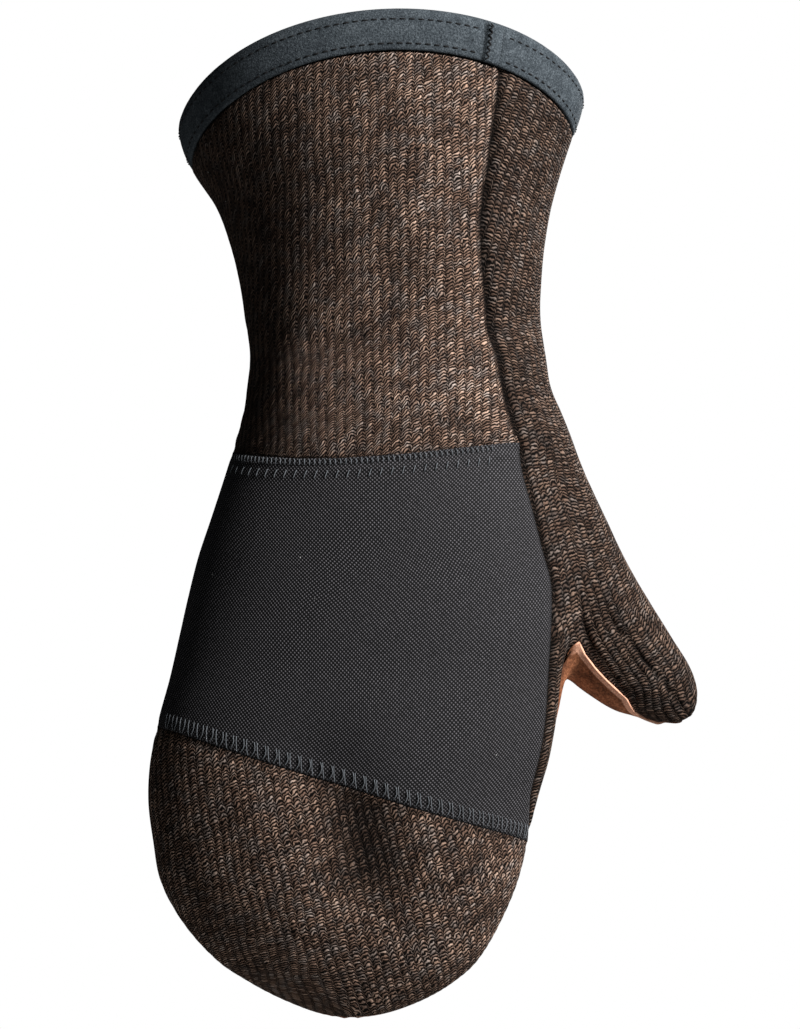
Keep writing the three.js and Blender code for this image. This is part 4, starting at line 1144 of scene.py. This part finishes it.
# Leather palm
# Rust-brown suede over the palm, the palm side of the fingers and the inside of the thumb, in one piece.
# On the thumb its cut edge lies over the knit and shows as a paler strip.
LEATHER_THICKNESS = 1.6
LEATHER_ROLL, LEATHER_ROLL_WIDTH = 1.2, 1.5
RAW_WIDTH, RAW_LIFT, RAW_FADE = 1.5, 0.7, 0.35
SADDLE_TURN = 16
DIP_SHARE = 0.13
INNER_COLUMNS, DIP_COLUMNS, PALM_COLUMNS = 24, 96, 120
LEATHER_STEPS, FINGER_STEPS, END_STEPS, THUMB_END_STEPS = 90, 48, 72, 60
SADDLE_LEVEL = crotch_line(np.array(float(SADDLE_BACK)))[2]
SIDE_LEVEL = band(left, left, leather_top, knuckle_top, 1, 1)[1, 0, 2]
TURNING = (LEATHER_LEVEL - SIDE_LEVEL) / (LEATHER_LEVEL - SADDLE_LEVEL)


def saddle_angle(z):
    """The column that splits the leather into the thumb's side and the fingers' side."""
    return palm(z) + SADDLE_TURN


def inner_line(u, v):
    """The leather's thumb side as a fan of lines down to the crotch line."""
    return branch(palm, saddle_angle, THUMB_PALM_EDGE, SADDLE_BACK, "lower", u, v)


def palm_angle(share, z):
    """Angle at a share of the way round the palm side."""
    return mix(palm(z), left(z) + FULL_TURN, share)


def tip_line(share, v):
    """Height of the rows of the fingers' palm side, which start level with the fingertip panel's."""
    return mix(tip_place(1.0 + 0 * v, v)[..., 2], tip_place(0.0 * v, v)[..., 2], share)


def down_to(start, share, rows):
    """Points down the fingers from a row of points to the fingertip rows. A column eases from its own
    angle to its share of the way round the palm side."""
    v = np.linspace(0, 1, rows + 1)[:, None]
    z = mix(start[None, :, 2], tip_line(share, np.zeros_like(share))[None], v)
    turn = hand_turn(start)[None] % FULL_TURN
    level = start[None, :, 2]
    places = hand_place(mix(turn, palm_angle(share[None], z), ease(-z, -level, EASE_LENGTH - level)), z)
    places[0] = start
    return places


def palm_tip(from_share, to_share, columns):
    """The palm side of the finger ends."""
    u, v = shares(columns, END_STEPS)
    share = mix(from_share, to_share, u)
    z = tip_line(share, v)
    return hand_place(palm_angle(share, z), z)


def thumb_inside(from_angle, to_angle, columns):
    """The inside of the thumb below the crotch line, between two angles."""
    u, v = shares(columns, THUMB_END_STEPS)
    v = tip_share(v)
    start = CROTCH_ALONG + saddle_dip(mix(from_angle, to_angle(CROTCH_ALONG), u))
    edge = to_angle(mix(CROTCH_ALONG, THUMB_LENGTH, v))
    return thumb_place(mix(from_angle, edge, u), mix(start, THUMB_LENGTH, v))


u, v = shares(PALM_COLUMNS, LEATHER_STEPS)
edge = settle(inner_line(1 + 0 * v[:, :1], v[:, :1]), MORE_TURNS)
outer_level = np.interp(v, [0, TURNING, 1], [LEATHER_LEVEL, SIDE_LEVEL, SADDLE_LEVEL])
z = mix(edge[..., 2], outer_level, u)
upper_palm = hand_place(mix(hand_turn(edge), left(z) + FULL_TURN, u), z)
upper_palm[:, :1] = edge
dip_angles = mix(FULL_TURN + KNIT_EDGE, SADDLE_BACK, np.linspace(0, 1, DIP_COLUMNS + 1))
dip_start = settle(crotch_line(dip_angles), MORE_TURNS)
palm_start = settle(upper_palm[-1], MORE_TURNS)
leather_grids = [settle(grid, MORE_TURNS) for grid in (
    stack(
        inner_line(*shares(INNER_COLUMNS, LEATHER_STEPS)),
        thumb_inside(THUMB_PALM_EDGE, lambda along: SADDLE_BACK + 0 * along, INNER_COLUMNS),
    ),
    stack(
        upper_palm,
        down_to(palm_start, mix(DIP_SHARE, 1, np.linspace(0, 1, PALM_COLUMNS + 1)), FINGER_STEPS),
        palm_tip(DIP_SHARE, 1, PALM_COLUMNS),
    ),
    stack(
        down_to(dip_start, DIP_SHARE * np.linspace(0, 1, DIP_COLUMNS + 1), FINGER_STEPS),
        palm_tip(0, DIP_SHARE, DIP_COLUMNS),
    ),
    thumb_inside(SADDLE_BACK, lambda along: FULL_TURN + knit_edge(along), DIP_COLUMNS),
)]


def raw_edge(points, rolled, at_seam):
    """Along the thumb's knit the leather isn't rolled in and gets no painted seam shade. Its cut edge
    stands a little proud.
    """
    away, near = near_cut_edge(points, 1.6 * RAW_WIDTH)
    raw = 1 - ease(away, RAW_WIDTH, RAW_WIDTH + RAW_FADE)
    return mix(rolled, -RAW_LIFT, near), {"raw": raw, "seam": at_seam * (1 - near)}


def leather_finish():
    """Suede: mottled rust brown with a fine nap, darker in patches, paler where the edge is cut, and
    darkened by painted shade near its seams.
    """
    look = Finish("rust_suede")
    cloud = look.noise(260.0, 4.0, 0.6)
    grain = look.noise(1500.0, 3.0, 0.6)
    raw = look.mark("raw")
    shade = look.sum("MULTIPLY_ADD", grain, 0.6, look.sum("MULTIPLY", cloud, 0.45))
    face = look.ramp(shade, [
        (0.36, (0.075, 0.026, 0.011)), (0.53, (0.27, 0.098, 0.043)), (0.7, (0.56, 0.225, 0.108)),
    ])
    cut = look.ramp(grain, [(0.3, (0.66, 0.31, 0.20)), (0.7, (1.0, 0.56, 0.38))])
    # Painted shade near the seams, but none on the cut edge.
    plain = look.sum("MULTIPLY", look.mark("seam"), look.sum("MULTIPLY_ADD", raw, -0.7, 0.7))
    colour = look.blend(plain, look.blend(raw, face, cut), (0.03, 0.011, 0.006))
    return look.finish(colour, look.sum("MULTIPLY_ADD", cloud, 0.6, grain), 0.2 * MM, 0.6, 0.85, 0.2)


leather_maps = [np.stack(lengths(grid), axis=-1) for grid in leather_grids]
leather_palm = cloth_wall(
    "suede_palm", leather_grids, leather_maps, "hide", LEATHER_THICKNESS,
    [np.zeros(grid.shape[:2]) for grid in leather_grids], LEATHER_ROLL, LEATHER_ROLL_WIDTH,
    leather_finish(), raw_edge,
)
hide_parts("leather_palm")

# Cuff binding
# A strip of blue-grey fleece folded over the rim, closed by a lap beside the front seam.
# The lap's width, how far it lifts, the angle where it starts, and how far it turns
LAP, LAP_LIFT, LAP_START = 4.6, 0.9, 29.5
LAP_TURN = math.degrees(LAP / CUFF[0])
FOLD = TAPE_TOTAL / 2
PILE_SWELL, SWELL_ROUND = 0.35, 0.7

# Even stations round the rim, and steps down a leg of the fold and round it
BINDING_STATIONS, LEG_STEPS, FOLD_STEPS = 420, 14, 13

# The lap's stations: shares of its turn, degrees more, and shares of its lift
LAP_PROFILE = [
    (0, -0.25, 0), (0, 0.05, 0.75), (0, 0.35, 1), (0, 0.5, 1), (0.5, 0, 1.05),
    (1, -0.5, 1), (1, 0, 0.1), (1, 0.3, -0.4), (1, 0.6, -0.2),
]
# How far after the lap the even stations start and how far before it they end, in degrees
LAP_AFTER, LAP_BEFORE = 0.8, 0.3


def pile_swell(below):
    """The outer layer swells between the fold and its edge by a half wave to a power."""
    return PILE_SWELL * np.sin(math.pi * (below - FOLD) / (BINDING_WIDTH - FOLD)) ** SWELL_ROUND


def binding_section():
    """The folded strip's outline as places below the rim and depths under the outside: down the outer
    layer, round the fold, up the inner layer, and back along the inside of the fold."""
    legs = np.linspace(BINDING_WIDTH, FOLD, LEG_STEPS)[:-1]
    turns = np.linspace(0, math.pi, FOLD_STEPS)
    arc = np.stack([np.sin(turns), np.cos(turns)], -1)
    outer, inner, back, face = (np.stack(np.broadcast_arrays(*side), -1) for side in (
        (legs, -pile_swell(legs)), (legs[::-1], TAPE_TOTAL),
        (legs, TAPE_TOTAL - BINDING_THICKNESS), (legs[::-1], BINDING_THICKNESS),
    ))
    hollow = FOLD - (FOLD - BINDING_THICKNESS) * arc[::-1]
    return np.concatenate([outer, FOLD - FOLD * arc, inner, back, hollow, face])


def on_binding(angle, down, deep):
    """Points of the tape: on the outside at a distance below the rim, moved in by a depth, and in the
    fold moved up from the rim's own point."""
    height = rim_height(angle)
    rim = settle(hand_place(angle, height))
    up = rim - settle(hand_place(angle, height - 1))
    up /= np.linalg.norm(up, axis=-1, keepdims=True)
    low = settle(hand_place(angle[..., None], height[..., None] - np.maximum(down, FOLD)))
    places = np.where((down > FOLD)[..., None], low, rim[..., None, :])
    normal = outward(places)
    places = places - up[..., None, :] * np.where(down <= FOLD, down, 0)[..., None]
    return places - normal * deep[..., None]


def binding_finish():
    """Blue-grey fleece: a close pile of small tufts, lighter and darker, with a soft nap."""
    look = Finish("blue_grey_fleece")
    tufts = look.noise(2100.0, 3.0, 0.7)
    shade = look.sum("MULTIPLY_ADD", tufts, 0.8, look.sum("MULTIPLY", look.noise(260.0), 0.2))
    colour = look.ramp(shade, [
        (0.3, (0.010, 0.012, 0.015)), (0.5, (0.046, 0.056, 0.064)), (0.7, (0.13, 0.15, 0.165)),
    ])
    return look.finish(colour, tufts, 0.35 * MM, 0.8, 0.95, 0.1)


lap_share, lap_more, lap_rise = np.transpose(LAP_PROFILE)
turn = np.linspace(0, 1, BINDING_STATIONS, endpoint=False)
stations = LAP_START + LAP_TURN + LAP_AFTER + (FULL_TURN - LAP_TURN - LAP_AFTER - LAP_BEFORE) * turn
angles = np.r_[LAP_START + lap_share * LAP_TURN + lap_more, stations]
lift = np.r_[LAP_LIFT * lap_rise, np.zeros(BINDING_STATIONS)]
down, deep = (np.tile(column, (len(angles), 1)) for column in binding_section().T)
deep -= np.where(deep < BINDING_THICKNESS - 0.01, lift[:, None], 0)
rings = on_binding(angles, down, deep)
numbers = np.arange(rings[..., 0].size).reshape(rings.shape[:2])
closed = quads(np.pad(numbers, ((0, 1), (0, 1)), "wrap"))
cuff_binding = make_piece("fleece_binding", rings.reshape(-1, 3), [closed], binding_finish())
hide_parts("cuff_binding")

# Threads
# Two rows of black running stitch hold the binding, a black zigzag closes it, and grey-blue threads in
# pairs cover the flat seams of the knuckle panel.
RUN_PITCH, RUN_LENGTH, RUN_RADIUS = 2.58, 1.6, 0.23
RUN_BELOW_RIM = (3.3, 10.0)
RUN_POINTS, FLAT_POINTS, THREAD_SIDES = 7, 9, 6

# How far above the cloth a thread's middle lies and how far its ends sink in, and how many degrees the
# running stitch keeps clear of the lap
RUN_PROUD, RUN_SUNK, RUN_CLEAR = 0.06, 0.4, 2
FLAT_RADIUS, FLAT_PROUD, FLAT_SUNK = 0.12, 0.3, 1.5

# The zigzag: its turns, where it starts round the rim and how far it reaches, in degrees, how far it
# lies above the lap, and its ends below the rim
ZIGZAG_TURNS, ZIGZAG_START, ZIGZAG_REACH, ZIGZAG_PROUD = 6, 0.3, 1.1, 0.1
ZIGZAG_TOP, ZIGZAG_END = 1.2, BINDING_WIDTH - 0.6

# Rows of threads along the flat seams: the seam, how far apart, how far below the seam their middles lie,
# how tall they are, how far they lean to the right at the foot, how far they bow to the right, and how
# far along they are moved
THREAD_ROWS = [
    (knuckle_top, 1.45, 1.1, 2.0, 0.5, 0.35, 0.0),
    (knuckle_top, 2.9, 4.6, 2.9, -0.6, 0.0, 0.0),
    (knuckle_end, 3.05, -2.3, 5.0, 1.1, -0.1, 0.0),
    (knuckle_end, 3.05, -2.3, 4.8, -0.2, 0.9, 1.1),
]

# The threads' first angle, how far before the front seam they stop, and about where that seam lies
THREADS_START, THREADS_STOP, SEAM_TURN = -74, 12, 80.0


def threads(name, paths, radius, material):
    """Tubes carried along many paths at once: at each point of a path a ring round it, in the plane
    across the path's direction, whose radius goes to nothing at the two ends."""
    ahead = np.gradient(paths, axis=1)
    ahead /= np.linalg.norm(ahead, axis=-1, keepdims=True)
    normal = outward(paths)
    aside = np.cross(ahead, normal)
    aside /= np.linalg.norm(aside, axis=-1, keepdims=True)
    upward = np.cross(aside, ahead)
    t = np.linspace(-1, 1, paths.shape[1])
    thick = radius * np.sqrt(np.clip(1 - np.abs(t) ** 6, 0.02, 1))
    turn = np.linspace(0, 2 * math.pi, THREAD_SIDES, endpoint=False)
    ring = np.cos(turn)[:, None] * aside[:, :, None] + np.sin(turn)[:, None] * upward[:, :, None]
    points = paths[:, :, None] + thick[None, :, None, None] * ring
    numbers = np.arange(points[..., 0].size).reshape(points.shape[:3])
    a, b = numbers[:, :-1], numbers[:, 1:]
    walls = np.stack([a, np.roll(a, -1, axis=2), np.roll(b, -1, axis=2), b], -1).reshape(-1, 4)
    caps = np.concatenate([numbers[:, 0, ::-1], numbers[:, -1]])
    return make_piece(name, points.reshape(-1, 3), [walls, caps], material)


def thread_finish(name, colour, rough):
    """A spun thread: one colour, broken up by fine noise."""
    look = Finish(name)
    fibre = look.noise(3000.0)
    shades = [(0.3, tuple(0.45 * part for part in colour)), (0.7, colour)]
    return look.finish(look.ramp(fibre, shades), fibre, 0.1 * MM, 0.5, rough, 0.3)


def even_angles(level, below, from_angle, to_angle, pitch):
    """Angles of places an even distance apart along a line round the hand, at so much below a level,
    and millimetres to a degree."""
    angle = np.linspace(from_angle, to_angle, 721)
    line = settle(hand_place(angle, level(angle) - below))
    length = np.r_[0, np.linalg.norm(np.diff(line, axis=0), axis=1).cumsum()]
    count = int(length[-1] / pitch)
    middles = (np.arange(count) + 0.5) * length[-1] / count
    return np.interp(middles, length, angle), length[-1] / (to_angle - from_angle)


def laid(angle, z, high):
    """Paths of threads laid on the cloth at angles and heights, so far above it."""
    line = settle(hand_place(angle, z))
    return line + outward(line) * high[..., None]


black_thread = thread_finish("black_thread", (0.006, 0.006, 0.007), 0.8)
run_paths = []
run_ends = LAP_START + LAP_TURN + RUN_CLEAR, LAP_START + FULL_TURN - RUN_CLEAR
t = np.linspace(-0.5, 0.5, RUN_POINTS)
for below in RUN_BELOW_RIM:
    starts, per_degree = even_angles(rim_height, below, *run_ends, RUN_PITCH)
    spread = starts[:, None] + t * RUN_LENGTH / per_degree
    high = pile_swell(below) + RUN_PROUD - RUN_SUNK * (2 * t) ** 4
    run_paths.append(laid(spread, rim_height(spread) - below, high))
zigzag_down = np.linspace(ZIGZAG_TOP, ZIGZAG_END, 2 * ZIGZAG_TURNS + 1)
zigzag_angle = LAP_START + ZIGZAG_START + ZIGZAG_REACH * (np.arange(len(zigzag_down)) % 2)
part = np.linspace(0, 1, RUN_POINTS)
down, spread = (row[:-1, None] + np.diff(row)[:, None] * part for row in (zigzag_down, zigzag_angle))
high = LAP_LIFT + PILE_SWELL * np.sin(math.pi * down / BINDING_WIDTH) + ZIGZAG_PROUD
run_paths.append(laid(spread, rim_height(spread) - down, high))
binding_stitches = threads("binding_stitches", np.concatenate(run_paths), RUN_RADIUS, black_thread)

grey_thread = thread_finish("grey_blue_thread", (0.17, 0.185, 0.20), 0.8)
flat_paths = []
t = np.linspace(-0.5, 0.5, FLAT_POINTS)
high = FLAT_PROUD - FLAT_SUNK * (2 * t) ** 6
for level, pitch, below, height, slant, bend, shift in THREAD_ROWS:
    starts, per_degree = even_angles(level, 0, THREADS_START, front(level(SEAM_TURN)) - THREADS_STOP, pitch)
    spread = starts[:, None] + (shift + slant * t + bend * np.cos(math.pi * t)) / per_degree
    flat_paths.append(laid(spread, level(spread) - below - t * height, high))
flat_stitches = threads("flat_seam_threads", np.concatenate(flat_paths), FLAT_RADIUS, grey_thread)
